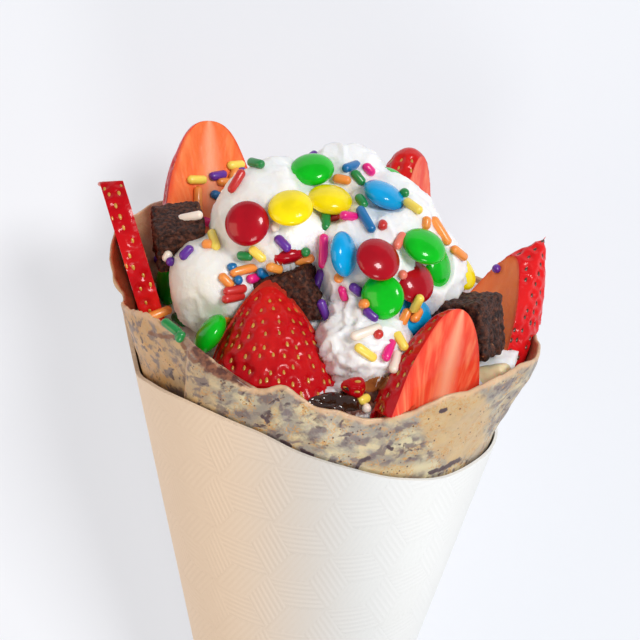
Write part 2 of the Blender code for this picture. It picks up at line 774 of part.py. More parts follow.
def placed_sprinkle(place, outward, heading, length):
    """A sugar strand with pointed ends, lying on the cream, and its place."""
    heading = (heading - heading.dot(outward) * outward).normalized()
    point = SPRINKLE_RADIUS * 0.6
    half = length / 2 - point
    profile = [(0.0, -half - point), (SPRINKLE_RADIUS, -half), (SPRINKLE_RADIUS, half), (0.0, half + point)]
    lifted = Matrix.Translation(place + outward * SPRINKLE_LIFT)
    mesh = mesh_of("sprinkle", turned_solid(profile, SPRINKLE_SIDES))
    return mesh, laid_down(lifted @ looking_along(heading))


def placed_sprinkles():
    """The sprinkles seen on the shown side, then those strewn over the far side."""
    placed = []
    for x, y, degrees, length in SPRINKLES:
        place, outward = on_cream((x, y))
        heading = heading_seen((x, y), degrees, outward)
        placed.append(placed_sprinkle(place, outward, heading, length * PIXEL))
    draw = random.Random(7)
    for _ in range(FAR_SPRINKLES):
        direction = cream_bearing(draw.uniform(*FAR_BEARINGS), draw.uniform(*FAR_DOWN))
        heading = Vector((draw.uniform(-1, 1), draw.uniform(-1, 1), draw.uniform(-1, 1)))
        length = draw.uniform(*FAR_LENGTHS)
        placed.append(placed_sprinkle(cream_surface(direction), cream_normal(direction), heading, length))
    return placed


def make_cream(toppings, hollow):
    """The cream with its sprinkles fused on, cut clear of the crepe and the toppings."""
    obj = add_object("cream", cream_core(), "cream", 40)
    boolean(obj, "UNION", placed_sprinkles())
    boolean(obj, "INTERSECT", [hollow])
    boolean(obj, "DIFFERENCE", [(swollen(mesh, GAP), place) for mesh, place in toppings.values()])
    keep_largest(obj)


def make_toppings(toppings, hollow):
    """Toppings as objects, all but the candies trimmed where they would pass through the crepe."""
    for name, (mesh, place) in toppings.items():
        obj = add_object(name, mesh.copy(), colour_of(name), 60)
        obj.matrix_world = place
        if not name.startswith("candy"):
            boolean(obj, "INTERSECT", [hollow])
            keep_largest(obj)


def main():
    for obj in list(bpy.data.objects):
        bpy.data.objects.remove(obj)
    toppings = placed_toppings()
    hollow = make_hollow(), Matrix.Identity(4)
    make_sleeve()
    make_crepe()
    make_cream(toppings, hollow)
    make_toppings(toppings, hollow)


main()
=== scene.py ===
"""The looks of a dessert crepe in its paper sleeve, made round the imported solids.

Shapes are worked out upright in cone coordinates, in millimetres: the tip of the cone is the origin,
+z runs up its axis to the mouth, x is to the right and the shown side faces -y. laid_down() takes
them to the frame, in metres. A pixel of the 640 pixel photograph gives a line of sight.
"""

import bisect
import math
import random
from typing import NamedTuple

import bmesh
import bpy
import numpy as np
from mathutils import Matrix, Vector, kdtree, noise
from mathutils.bvhtree import BVHTree


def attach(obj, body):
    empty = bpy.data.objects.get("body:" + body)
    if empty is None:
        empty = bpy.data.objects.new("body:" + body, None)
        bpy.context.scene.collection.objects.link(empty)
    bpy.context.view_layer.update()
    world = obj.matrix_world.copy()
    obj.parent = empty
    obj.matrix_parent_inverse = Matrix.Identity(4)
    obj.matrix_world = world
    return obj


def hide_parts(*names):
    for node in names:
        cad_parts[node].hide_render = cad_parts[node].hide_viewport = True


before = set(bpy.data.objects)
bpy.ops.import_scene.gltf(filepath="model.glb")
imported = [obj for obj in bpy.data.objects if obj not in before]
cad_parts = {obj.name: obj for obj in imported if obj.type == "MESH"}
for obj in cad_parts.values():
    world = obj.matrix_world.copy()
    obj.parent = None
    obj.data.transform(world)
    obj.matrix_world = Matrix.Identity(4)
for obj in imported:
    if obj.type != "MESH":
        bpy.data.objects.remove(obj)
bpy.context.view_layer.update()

MM = 0.001

# Cone, paper and crepe, as in the solids.
GAP = 0.35
FACET_SLACK = 0.17
HALF_ANGLE = math.radians(14.2)
STRIP_ANGLE = math.radians(0.4)
STRIP_MIDDLE = 110.0
PAPER_THICK = 0.6
SEAM_AZIMUTH = 150.0
SEAM_STEP = 0.5
SLEEVE_RIM = {
    -180: 194, -140: 190, -105: 188, -86: 187, -76: 174, -60: 176, -42: 177, -20: 175,
    -5: 171, 9: 168, 26: 164.5, 45: 162.5, 62: 163, 90: 163, 115: 170, 145: 185,
}
CREPE_THICK = 1.5
CREPE_BOTTOM = 24.0
CREPE_EDGE_AZIMUTH = -45.0
CREPE_EDGE_LEAN = 0.45
CREPE_EDGE_SLANT = 177.0
CREPE_OVERLAP = 52.0
CREPE_STEP_IN = 34.0
INSIDE_PAPER = PAPER_THICK + GAP
INSIDE_CREPE = INSIDE_PAPER + CREPE_THICK + GAP
TOPPING_FLOOR = INSIDE_CREPE + GAP
CREPE_RIM = {
    0: 191.5, 7: 190, 14: 187.3, 24: 185.4, 31: 186.3, 38: 183.5, 45: 181.5, 54: 181.1, 65: 180,
    75: 182.8, 83: 185.3, 92: 186.4, 105: 186.5, 120: 187.2, 140: 186.5, 160: 187, 180: 189,
    225: 195, 262: 201, 285: 203, 300: 200.5, 312: 197, 321: 190, 330: 189.4, 345: 192, 356: 191.7,
    366: 189, 385: 184, 412: 179,
}
CREPE_FLARE = {
    0: 1.2, 12: 0.5, 60: 0.2, 95: 1.2, 125: 3.2, 160: 2.4, 225: 0.6, 262: 1.0, 290: 2.4, 310: 4.2,
    318: 3.8, 325: 2.1, 336: 0.5, 350: 0.2, 412: 0.0,
}
CREPE_WAVE = 0.5
CREPE_RUFFLE = 0.7

# Line of sight to the shown side.
PHOTO_MIDDLE = 320.0
PIXEL = 0.2233
EYE_DISTANCE = 522.5
EYE_ELEVATION = math.radians(20.0)
EYE_LEAN = math.radians(4.7)
EYE_TARGET = Vector((-2.1, 0.0, 180.6))
SENSOR_MM = 36.0

# Whipped cream, as in the solids, and its finer surface.
CREAM_CENTRE = Vector((0.0, 0.0, 166.0))
CREAM_LEVEL = 180.0
CREAM_LEVEL_RISE = 0.1
CREAM_BOTTOM = 26.0
CREAM_LOBES = (
    ((0, 4, 175), 27.0),
    ((-13, -4, 203), 14.5),
    ((1, 7, 208.5), 10.5),
    ((10, -1, 203), 12.0),
    ((-24, -9, 190), 11.5),
    ((8, -22, 184), 11.0),
    ((18, -6, 195), 11.0),
    ((2, 13, 192), 20.0),
    ((0, 27, 183), 16.0),
    ((9, -9, 198), 14.5),
)
CREAM_BLEND = 0.7
CREAM_LUMP = 1.1
CREAM_LUMP_SIZE = 9.0
CREAM_COLUMNS = 420
CREAM_FINE_ROWS = 150
CREAM_FINE_STEP = 0.7
CREAM_COARSE_DOWNS = range(108, 178, 6)


class Pose(NamedTuple):
    """Where a piece is seen, how far in front of the cone's axis, and its lean, pitch and turn."""

    pixel: tuple
    near: float
    lean: float
    pitch: float
    turn: float


class Berry(NamedTuple):
    """A strawberry's length, width, tip's rounding power, cuts and pose, and the rings of its mesh."""

    length: float
    width: float
    power: float
    cuts: tuple
    pose: Pose
    rings: int


BERRY_SHOULDER = 0.3
BERRY_TAPER = 1.45
SLAB = (((0, 0, 2.5), (0, 0, 1)), ((0, 0, -2.5), (0, 0, -1)), ((0, -16, 0), (0, -1, -0.27)))
WEDGE = (((-4.2, 13.9, 1.9), (-0.84, -0.16, 0.52)), ((0, -11, 0), (0, -1, 0)))
FRONT_OFF = (((0, 0, 0), (0, 0, 1)),)
BACK_OFF = (((0, 0, 0), (0, 0, -1)),)
BACK_PART_OFF = (((0, 0, 2.5), (0, 0, -1)),)
RIGHT_OFF = (((3.5, 0, 0), (0.9, 0, 0.43)),)
BERRIES = {
    "strawberry_left": Berry(38, 24, 0.5, SLAB, Pose((133, 253), 0, 197, 0, 86), 110),
    "strawberry_back_left": Berry(37, 24, 0.42, FRONT_OFF, Pose((212, 202), -17, 2, 0, 28), 80),
    "strawberry_front_left": Berry(43, 32, 0.66, BACK_PART_OFF, Pose((271, 382), 24.5, 1, 0, 0), 160),
    "strawberry_front_right": Berry(42, 29, 0.5, FRONT_OFF, Pose((440, 405), 31.7, -14, -7, 47), 150),
    "strawberry_right": Berry(44, 27, 1.05, WEDGE, Pose((495, 318), -6, -32, 0, 0), 150),
    "strawberry_back_right": Berry(36, 21, 0.5, RIGHT_OFF, Pose((403, 226), -19, -6, 0, 0), 80),
    "strawberry_small": Berry(5.2, 4.2, 0.5, BACK_OFF, Pose((353, 387), 35.4, 85, 0, 10), 24),
}
CUBES = {
    "brownie_left": ((11, 10.5, 12), Pose((179, 236), 3, 2, 36, 8)),
    "brownie_front": ((14.5, 11.3, 9), Pose((288, 295), 15.6, 20, 14, -24)),
    "brownie_right": ((14, 13, 11.5), Pose((465, 326), 11.5, 6, 14, -28)),
    "banana_piece": ((8, 6.5, 6.5), Pose((492, 380), 16.5, 10, 0, -20)),
}

# Sugar sprinkles: colour, middle and angle to the horizontal, then length, in pixels.
SPRINKLE_RADIUS = 1.05
SPRINKLE_LIFT = 0.5
SPRINKLE_STEEPEST = 0.4
SPRINKLE_BOW = 0.25
SPRINKLES = (
    ("yellow", 196, 180, 0, 22), ("orange", 197, 201, 90, 30), ("purple", 217, 175, 10, 20),
    ("orange", 224, 182, -5, 18), ("orange", 233, 174, 70, 16), ("red", 238, 182, 60, 26),
    ("blue", 218, 197, -25, 20), ("green", 257, 165, -12, 24), ("white", 191, 219, 12, 28),
    ("pink", 207, 222, -20, 15), ("yellow", 215, 241, 108, 26), ("orange", 208, 246, 0, 12),
    ("purple", 283, 244, -45, 20), ("green", 246, 255, -5, 17), ("yellow", 258, 254, -42, 20),
    ("orange", 243, 271, 15, 28), ("blue", 262, 272, -40, 14), ("pink", 253, 278, 15, 21),
    ("orange", 226, 281, -45, 18), ("red", 234, 290, 10, 25), ("red", 232, 298, 12, 27),
    ("purple", 188, 254, 48, 17), ("blue", 350, 168, 20, 24), ("green", 357, 179, -50, 18),
    ("orange", 342, 181, -10, 19), ("pink", 368, 170, -45, 15), ("green", 360, 203, -55, 19),
    ("blue", 366, 221, -60, 36), ("green", 325, 222, 88, 23), ("red", 334, 218, 10, 12),
    ("pink", 348, 218, -8, 20), ("coral", 398, 241, 60, 20), ("yellow", 413, 208, -35, 26),
    ("orange", 424, 223, 80, 14), ("orange", 439, 232, -58, 32), ("orange", 457, 254, -38, 24),
    ("pink", 325, 251, 88, 34), ("purple", 318, 281, 68, 28), ("purple", 326, 311, -68, 26),
    ("pink", 345, 292, -75, 17), ("purple", 355, 290, -40, 17), ("purple", 370, 316, -38, 17),
    ("yellow", 366, 351, -35, 25), ("pink", 388, 351, 70, 24), ("white", 393, 362, 78, 25),
    ("yellow", 399, 341, -60, 24), ("yellow", 416, 302, 62, 24), ("orange", 405, 317, 65, 18),
    ("orange", 415, 315, 60, 17), ("white", 366, 333, 20, 32), ("white", 276, 227, 60, 12),
    ("green", 304, 252, 80, 9), ("blue", 231, 267, 10, 10), ("blue", 238, 281, 90, 9),
    ("red", 381, 226, 75, 11), ("orange", 339, 278, 80, 10), ("orange", 366, 304, 10, 12),
    ("yellow", 235, 165, 5, 20), ("purple", 240, 170, 0, 8), ("orange", 305, 262, 12, 20),
    ("amber", 274, 267, -15, 18), ("purple", 156, 260, 0, 10), ("purple", 173, 261, 0, 10),
    ("white", 167, 255, 60, 12), ("orange", 158, 313, 22, 28), ("green", 180, 322, -35, 26),
    ("green", 172, 329, -38, 26), ("green", 182, 337, 60, 12), ("purple", 312, 143, 40, 12),
    ("green", 404, 195, -20, 10), ("coral", 401, 274, 50, 9), ("red", 378, 335, 45, 10),
    ("purple", 498, 270, 0, 9), ("yellow", 362, 399, 20, 15), ("white", 366, 409, 0, 9),
)
FAR_SPRINKLES = 9
FAR_BEARINGS = (110, 250)
FAR_DOWN = (12, 66)
FAR_LENGTHS = (3.4, 6.4)
SPRINKLE_COLOURS = {
    "orange": (0.93, 0.30, 0.05),
    "amber": (0.85, 0.33, 0.05),
    "green": (0.01, 0.24, 0.05),
    "purple": (0.12, 0.02, 0.32),
    "pink": (0.83, 0.01, 0.22),
    "yellow": (0.95, 0.72, 0.10),
    "blue": (0.0, 0.16, 0.42),
    "red": (0.60, 0.025, 0.02),
    "white": (0.93, 0.80, 0.68),
    "coral": (0.86, 0.20, 0.13),
}
CANDY_COLOURS = {
    "red": (0.42, 0.001, 0.010),
    "green": (0.0, 0.52, 0.01),
    "yellow": (1.0, 0.78, 0.0),
    "blue": (0.0, 0.36, 0.74),
    "orange": (0.93, 0.27, 0.01),
}


def smooth(share):
    """Rises from 0 to 1 with level ends."""
    share = min(1.0, max(0.0, share))
    return share * share * (3 - 2 * share)


def curve(keys, period=None):
    """A smooth curve through the keys that never overshoots them, as a function of the place."""
    places = sorted(keys)
    values = [keys[place] for place in places]
    start = places[0]
    if period:
        values = [values[-1], *values, values[0], values[1]]
        places = [places[-1] - period, *places, places[0] + period, places[1] + period]
    rates = [0.0]
    for index in range(len(places) - 1):
        rates.append((values[index + 1] - values[index]) / (places[index + 1] - places[index]))
    rates.append(0.0)
    slopes = []
    for before, after in zip(rates, rates[1:]):
        slopes.append(2 * before * after / (before + after) if before * after > 0 else 0.0)

    def value(at):
        if period:
            at = (at - start) % period + start
        at = min(max(at, places[0]), places[-1])
        index = min(bisect.bisect_right(places, at), len(places) - 1) - 1
        width = places[index + 1] - places[index]
        share = (at - places[index]) / width
        bend = share * (1 - share) * width * (slopes[index] * (1 - share) - slopes[index + 1] * share)
        return values[index] + (values[index + 1] - values[index]) * smooth(share) + bend

    return value


sleeve_rim = curve(SLEEVE_RIM, 360)
crepe_rim_curve = curve(CREPE_RIM)
crepe_flare_curve = curve(CREPE_FLARE)


def cone_point(azimuth, slant, out):
    """A point down the cone's side from the tip, moved square out of the cone's face."""
    angle = math.radians(azimuth)
    radius = slant * math.sin(HALF_ANGLE) + out * math.cos(HALF_ANGLE)
    height = slant * math.cos(HALF_ANGLE) - out * math.sin(HALF_ANGLE)
    return Vector((radius * math.sin(angle), -radius * math.cos(angle), height))


def cone_place(point):
    """A point's azimuth, slant, and how far it stands out of the cone's face."""
    radius = math.hypot(point.x, point.y)
    slant = radius * math.sin(HALF_ANGLE) + point.z * math.cos(HALF_ANGLE)
    out = radius * math.cos(HALF_ANGLE) - point.z * math.sin(HALF_ANGLE)
    return math.degrees(math.atan2(point.x, -point.y)), slant, out


LAY_DOWN = Matrix.Translation((0, -STRIP_MIDDLE, 0)) @ Matrix.Rotation(
    HALF_ANGLE - STRIP_ANGLE - math.pi / 2, 4, "X")


def laid_down(matrix):
    """The resting part's matrix, in metres, for one in cone coordinates and millimetres."""
    world = LAY_DOWN @ matrix
    world.translation *= MM
    return world


def on_table(point, floor=0.0):
    """A point of the resting part, in metres, for one in cone coordinates, held above a level."""
    place = LAY_DOWN @ point
    place.z = max(place.z, floor)
    return place * MM


def stood_up(place):
    """A point in cone coordinates for one of the resting part, in metres."""
    return LAY_DOWN.inverted() @ (Vector(place) / MM)


def crepe_azimuth(sheet, slant):
    """Where on the cone a place on the sheet lies: its outer edge leans with the slant."""
    lean = CREPE_EDGE_LEAN * (slant - CREPE_EDGE_SLANT) * (1 - smooth(sheet / 60))
    return CREPE_EDGE_AZIMUTH + sheet + lean


def crepe_depth(sheet):
    """How far the sheet has stepped in to pass beneath its own outer edge."""
    return (CREPE_THICK + GAP) * smooth((sheet - 360 + CREPE_STEP_IN) / CREPE_STEP_IN)


def crepe_rim(sheet):
    """Slant of the crepe's edge, with small waves."""
    wave = math.sin(math.radians(sheet * 11)) + 0.6 * math.sin(math.radians(sheet * 23 + 50))
    return crepe_rim_curve(sheet) + CREPE_WAVE * wave


def crepe_out(sheet, slant):
    """How far the crepe's outer face stands out of the sleeve's outer cone."""
    clear = crepe_rim(sheet) - sleeve_rim(crepe_azimuth(sheet, slant))
    share = smooth((slant - crepe_rim(sheet) + clear) / max(clear, 1.0)) * smooth(clear / 6)
    ruffle = CREPE_RUFFLE * math.sin(math.radians(sheet * 7 + 30)) * math.sin(math.radians(sheet * 3.1))
    flare = (crepe_flare_curve(sheet) + ruffle) * share
    return flare - PAPER_THICK - GAP - FACET_SLACK - crepe_depth(sheet)


def held_in(point):
    """A point in cone coordinates, moved back inside the crepe where it would pass through it."""
    azimuth, slant, out = cone_place(point)
    sheet = (azimuth - CREPE_EDGE_AZIMUTH) % 360
    edge = crepe_rim(sheet)
    if sheet < CREPE_OVERLAP + 6:
        edge = max(edge, crepe_rim(min(sheet + 360, 360 + CREPE_OVERLAP)))
    if slant > edge + 3:
        return point
    doubled = smooth((CREPE_OVERLAP + 24 - sheet) / 20)
    limit = crepe_out(sheet, slant) - CREPE_THICK - doubled * (CREPE_THICK + GAP) - GAP
    limit += max(0.0, slant - edge) * 3
    return cone_point(azimuth, slant, limit) if out > limit else point


CREAM_OFFSETS = [(Vector(middle) - CREAM_CENTRE, radius) for middle, radius in CREAM_LOBES]


def lobe_reach(direction):
    """How far the cream's lobes reach from its centre in one direction, softly joined."""
    total = 0.0
    for offset, radius in CREAM_OFFSETS:
        ahead = offset.dot(direction)
        inside = ahead * ahead - offset.length_squared + radius * radius
        reach = ahead + math.sqrt(inside) if inside > 0 else ahead - 2 * math.sqrt(-inside)
        total += math.exp(CREAM_BLEND * reach)
    return math.log(total) / CREAM_BLEND


def fill_reach(direction):
    """How far the filling of the cone reaches from the cream's centre in one direction."""
    tangent = math.tan(HALF_ANGLE)
    apex = INSIDE_CREPE / math.sin(HALF_ANGLE)
    closing = math.hypot(direction.x, direction.y) - direction.z * tangent
    reach = (CREAM_CENTRE.z - apex) * tangent / max(closing, 1e-6)
    rise = direction.z - CREAM_LEVEL_RISE * direction.y
    if rise > 0:
        reach = min(reach, (CREAM_LEVEL - CREAM_CENTRE.z) / rise)
    if direction.z < 0:
        reach = min(reach, (CREAM_CENTRE.z - CREAM_BOTTOM) / -direction.z)
    return reach


def cream_reach(direction):
    """The cream's surface: the lobes, with soft lumps, and the filling under them."""
    lobes = lobe_reach(direction)
    lobes += CREAM_LUMP * noise.noise((CREAM_CENTRE + direction * lobes) / CREAM_LUMP_SIZE)
    return max(lobes, fill_reach(direction))


def cream_bearing(bearing, down):
    """A direction from the cream's centre: round from the front, and down from the cone's axis."""
    bearing = math.radians(bearing)
    down = math.radians(down)
    return Vector((math.sin(down) * math.sin(bearing), -math.sin(down) * math.cos(bearing), math.cos(down)))


def view_axes():
    """Right, up and towards the viewer, as seen on the shown side, in cone coordinates."""
    back = Vector((0, -math.cos(EYE_ELEVATION), math.sin(EYE_ELEVATION)))
    level = Vector((1, 0, 0))
    rise = back.cross(level)
    right = math.cos(EYE_LEAN) * level + math.sin(EYE_LEAN) * rise
    up = math.cos(EYE_LEAN) * rise - math.sin(EYE_LEAN) * level
    return right, up, back


RIGHT, UP, BACK = view_axes()
EYE = EYE_TARGET + EYE_DISTANCE * BACK


def sight(pixel):
    """The direction in which a pixel of the photograph is seen."""
    across = (pixel[0] - PHOTO_MIDDLE) * PIXEL
    rise = (PHOTO_MIDDLE - pixel[1]) * PIXEL
    return (across * RIGHT + rise * UP - EYE_DISTANCE * BACK).normalized()


def pixel_of(point):
    """Where a point in cone coordinates is seen."""
    offset = point - EYE
    share = -EYE_DISTANCE / offset.dot(BACK) / PIXEL
    return PHOTO_MIDDLE + offset.dot(RIGHT) * share, PHOTO_MIDDLE - offset.dot(UP) * share


def along_sight(pixel, before, step, count):
    """Points along a line of sight, from a distance before the eye's target and on in steps."""
    direction = sight(pixel)
    return [EYE + direction * (EYE_DISTANCE - before + number * step) for number in range(count)]


def to_left(point, start, width):
    """Rises from 0 at a column of the photograph to 1 a width further left, or right if that is negative."""
    return smooth((start - pixel_of(point)[0]) / width)


def posed(pose):
    """A matrix in cone coordinates: a piece's own x, y, z point to the viewer's right, up and nearer."""
    direction = sight(pose.pixel)
    place = EYE + direction * ((-pose.near - EYE.y) / direction.y)
    lean = Matrix.Rotation(math.radians(pose.lean), 3, "Z")
    pitch = Matrix.Rotation(math.radians(pose.pitch), 3, "X")
    turn = Matrix.Rotation(math.radians(pose.turn), 3, "Y")
    axes = Matrix((RIGHT, UP, BACK)).transposed()
    return Matrix.Translation(place) @ (axes @ lean @ pitch @ turn).to_4x4()


def ring_faces(rings, columns):
    """Quads between closed rings of points, and the fans that close both ends on single points."""
    faces = []
    last = 1 + rings * columns
    for here in range(columns):
        beside = (here + 1) % columns
        faces.append((0, 1 + beside, 1 + here))
        for ring in range(rings - 1):
            low = 1 + ring * columns
            high = low + columns
            faces.append((low + here, low + beside, high + beside, high + here))
        end = last - columns
        faces.append((end + here, end + beside, last))
    return faces


def placed(name, data):
    """An object in the scene for a mesh, a light or a camera."""
    obj = bpy.data.objects.new(name, data)
    bpy.context.scene.collection.objects.link(obj)
    return obj


def store(mesh, name, values):
    """Keeps a number, or three, for each point of a mesh, for its material to read."""
    values = np.asarray(values, np.float32)
    kind, field = ("FLOAT", "value") if values.ndim == 1 else ("FLOAT_VECTOR", "vector")
    mesh.attributes.new(name, kind, "POINT").data.foreach_set(field, values.ravel())


def add_piece(name, points, faces, material, record_slot=None, replaced=(), sharp_degrees=None, **attributes):
    """A mesh from points in metres, which rides on the object and stands for the solids named."""
    mesh = bpy.data.meshes.new(name)
    mesh.from_pydata([tuple(point) for point in points], [], faces)
    for key, values in attributes.items():
        store(mesh, key, values)
    work = bmesh.new()
    work.from_mesh(mesh)
    bmesh.ops.recalc_face_normals(work, faces=work.faces)
    work.to_mesh(mesh)
    work.free()
    mesh.shade_smooth()
    if sharp_degrees:
        mesh.set_sharp_from_angle(angle=math.radians(sharp_degrees))
    mesh.materials.append(material)
    obj = placed(name, mesh)
    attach(obj, "root")
    if replaced:
        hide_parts(*replaced)
    return obj


class Graph:
    """Writes a material's nodes. Patterns are sized in the units of the coordinates they are given."""

    def __init__(self, name):
        self.material = bpy.data.materials.new(name)
        self.material.use_nodes = True
        self.tree = self.material.node_tree
        self.shader = self.tree.nodes["Principled BSDF"]

    def node(self, kind, **settings):
        """A new node with its settings."""
        node = self.tree.nodes.new(kind)
        for key, value in settings.items():
            setattr(node, key, value)
        return node

    def feed(self, socket, value):
        """Links another node's output to a socket, or gives it a constant."""
        if isinstance(value, bpy.types.NodeSocket):
            self.tree.links.new(value, socket)
        elif socket.type == "RGBA" and not hasattr(value, "__len__"):
            socket.default_value = (value, value, value, 1)
        elif socket.type == "RGBA":
            socket.default_value = (*value, 1)
        else:
            socket.default_value = value

    def set(self, **values):
        """Feeds the shader's sockets, named with underscores for spaces."""
        for key, value in values.items():
            self.feed(self.shader.inputs[key.replace("_", " ")], value)

    def made(self, kind, inputs, output=0, **settings):
        """An output of a new node, with the node's sockets fed."""
        node = self.node(kind, **settings)
        for key, value in inputs.items():
            self.feed(node.inputs[key], value)
        return node.outputs[output]

    def read(self, name, number=False):
        """What a mesh keeps under a name."""
        return self.made("ShaderNodeAttribute", {}, "Fac" if number else "Vector", attribute_name=name)

    def parts(self, vector):
        """A vector's three numbers."""
        split = self.node("ShaderNodeSeparateXYZ")
        self.feed(split.inputs[0], vector)
        return split.outputs[0], split.outputs[1], split.outputs[2]

    def math(self, operation, first, second=0.0):
        """A sum on two numbers, each a constant or an output."""
        return self.made("ShaderNodeMath", {0: first, 1: second}, operation=operation)

    def times(self, first, second):
        return self.math("MULTIPLY", first, second)

    def plus(self, first, second):
        return self.math("ADD", first, second)

    def less(self, first, second):
        return self.math("SUBTRACT", first, second)

    def vectors(self, operation, first, second, output=0):
        """A sum on two vectors, each a constant or an output."""
        return self.made("ShaderNodeVectorMath", {0: first, 1: second}, output, operation=operation)

    def along(self, flat, degrees, size):
        """How far a flat vector reaches along a direction, in steps of a size."""
        angle = math.radians(degrees)
        step = (math.cos(angle) / size, math.sin(angle) / size, 0)
        return self.vectors("DOT_PRODUCT", flat, step, "Value")

    def noise(self, where, size, detail=2.0, rough=0.5, distortion=0.0):
        """Cloudy noise, about 0.5, with patches of a size."""
        settings = {"Scale": 1 / size, "Detail": detail, "Roughness": rough, "Distortion": distortion}
        return self.made("ShaderNodeTexNoise", {"Vector": where, **settings}, "Fac")

    def cells(self, where, size):
        """The distance to the nearest of scattered points."""
        return self.made("ShaderNodeTexVoronoi", {"Vector": where, "Scale": 1 / size}, "Distance")

    def between(self, value, low, high):
        """0 below low, 1 above high and smooth between; the other way round if low is above high."""
        sockets = {"Value": value, "From Min": low, "From Max": high}
        return self.made("ShaderNodeMapRange", sockets, "Result", interpolation_type="SMOOTHSTEP")

    def patches(self, where, size, low, high, *pattern):
        """Noise drawn out to patches: 0 where it is below low and 1 where it is above high."""
        return self.between(self.noise(where, size, *pattern), low, high)

    def mix(self, share, first, second):
        """One colour at a share of 0 and the other at 1."""
        return self.made("ShaderNodeMix", {0: share, 6: first, 7: second}, 2, data_type="RGBA")

    def cover(self, colour, share, strength, shade):
        """A colour with a shade laid over it, at a strength, where the share is above 0."""
        return self.mix(self.times(share, strength), colour, shade)

    def bump(self, height, depth, below=None):
        """Relief of a depth in millimetres, for a height from 0 to 1, on top of another relief."""
        inputs = {"Distance": depth * MM, "Height": height}
        if below:
            inputs["Normal"] = below
        return self.made("ShaderNodeBump", inputs)


def shown_side_marks(point, marks):
    """How strongly blots laid along lines of pixels cover a point: each is a radius and its lines."""
    x, y = pixel_of(point)
    cover = []
    for radius, *lines in marks:
        nearest = math.inf
        for line in lines:
            for (ax, ay), (bx, by) in zip(line, line[1:]):
                run = (bx - ax) ** 2 + (by - ay) ** 2
                share = min(1.0, max(0.0, ((x - ax) * (bx - ax) + (y - ay) * (by - ay)) / run))
                away = math.hypot(x - ax - share * (bx - ax), y - ay - share * (by - ay))
                nearest = min(nearest, away)
        cover.append(1 - smooth(nearest / radius))
    return cover


# Paper sleeve.
PAPER_COLUMNS = 240
PAPER_ROWS = 70
PAPER_COLOUR = (0.86, 0.87, 0.86)
# Painted warm light: warm towards the left of the shown side, with a quarter of it round the far side.
PAPER_PAINTED_WARM_LIGHT = (0.85, 0.67, 0.50)
PAPER_MOTTLED = (0.83, 0.83, 0.81)
PAPER_PAINTED_WARM_LIGHT_COLUMNS = (375, 165)
PAPER_PAINTED_WARM_LIGHT_BEHIND = 0.25
# Painted shade in the middle of the shown side.
PAPER_SHADED = 0.23
PAPER_SHADED_MIDDLE = 315
PAPER_SHADED_WIDTH = 125
PAPER_SWAY = 0.12
EMBOSS_STAR = (331, 556)
EMBOSS_SIDE = 8.8
EMBOSS_RIBS = 6
EMBOSS_DEPTH = 0.05


def unrolled(azimuth, slant):
    """Where a place on the cone lies when the paper is unrolled flat."""
    angle = math.radians(azimuth) * math.sin(HALF_ANGLE)
    return slant * math.sin(angle), slant * math.cos(angle), 0.0


def paper_material():
    """White card, embossed with blocks of ribs in three directions, under painted warm light towards the left
    and painted shade in the middle of the shown side.
    """
    graph = Graph("paper")
    places = [cone_place(point) for point in along_sight(EMBOSS_STAR, 60, 0.25, 200)]
    azimuth, slant, _ = min(places, key=lambda place: abs(place[2]))
    star = Vector(unrolled(azimuth, slant))
    flat = graph.read("flat")
    where = graph.vectors("SUBTRACT", flat, star)
    rows = 1.5 * EMBOSS_SIDE
    pitch = EMBOSS_SIDE * math.sin(math.radians(60)) / EMBOSS_RIBS
    distances = []
    ribs = []
    for degrees in (90, 30, 150):
        distances.append(graph.math("PINGPONG", graph.along(where, degrees + 90, rows), 0.5))
        wave = graph.along(where, degrees + 120, pitch / (2 * math.pi))
        ribs.append(graph.math("COSINE", wave))
    height = 0.0
    for index in range(3):
        others = [distance for distance in distances if distance is not distances[index]]
        nearer = [graph.math("LESS_THAN", distances[index], other) for other in others]
        height = graph.plus(graph.times(graph.times(*nearer), ribs[index]), height)
    grain = graph.noise(flat, 0.5, 3)
    relief = graph.bump(graph.times(height, -0.5), EMBOSS_DEPTH, graph.bump(grain, 0.03))
    tone = graph.mix(graph.noise(flat, 22, 2), PAPER_COLOUR, PAPER_MOTTLED)
    # Painted warm light and painted shade are laid over the paper's tone.
    warm, shaded, _ = graph.parts(graph.read("tint"))
    tone = graph.mix(shaded, graph.mix(warm, tone, PAPER_PAINTED_WARM_LIGHT), (0, 0, 0))
    graph.set(Base_Color=tone, Roughness=0.62, Normal=relief)
    return graph.material


def paper_tint(point):
    """How much painted warm light and painted shade the paper gets: painted warm light to the left and
    painted shade in the middle of the shown side.
    """
    facing = -point.y / (math.hypot(point.x, point.y) + 1)
    shown = smooth(1.25 + 2.5 * facing)
    warm = PAPER_PAINTED_WARM_LIGHT_BEHIND + (to_left(point, *PAPER_PAINTED_WARM_LIGHT_COLUMNS) - PAPER_PAINTED_WARM_LIGHT_BEHIND) * shown
    aside = abs(pixel_of(point)[0] - PAPER_SHADED_MIDDLE) / PAPER_SHADED_WIDTH
    return warm, PAPER_SHADED * shown * (1 - smooth(aside)), 0


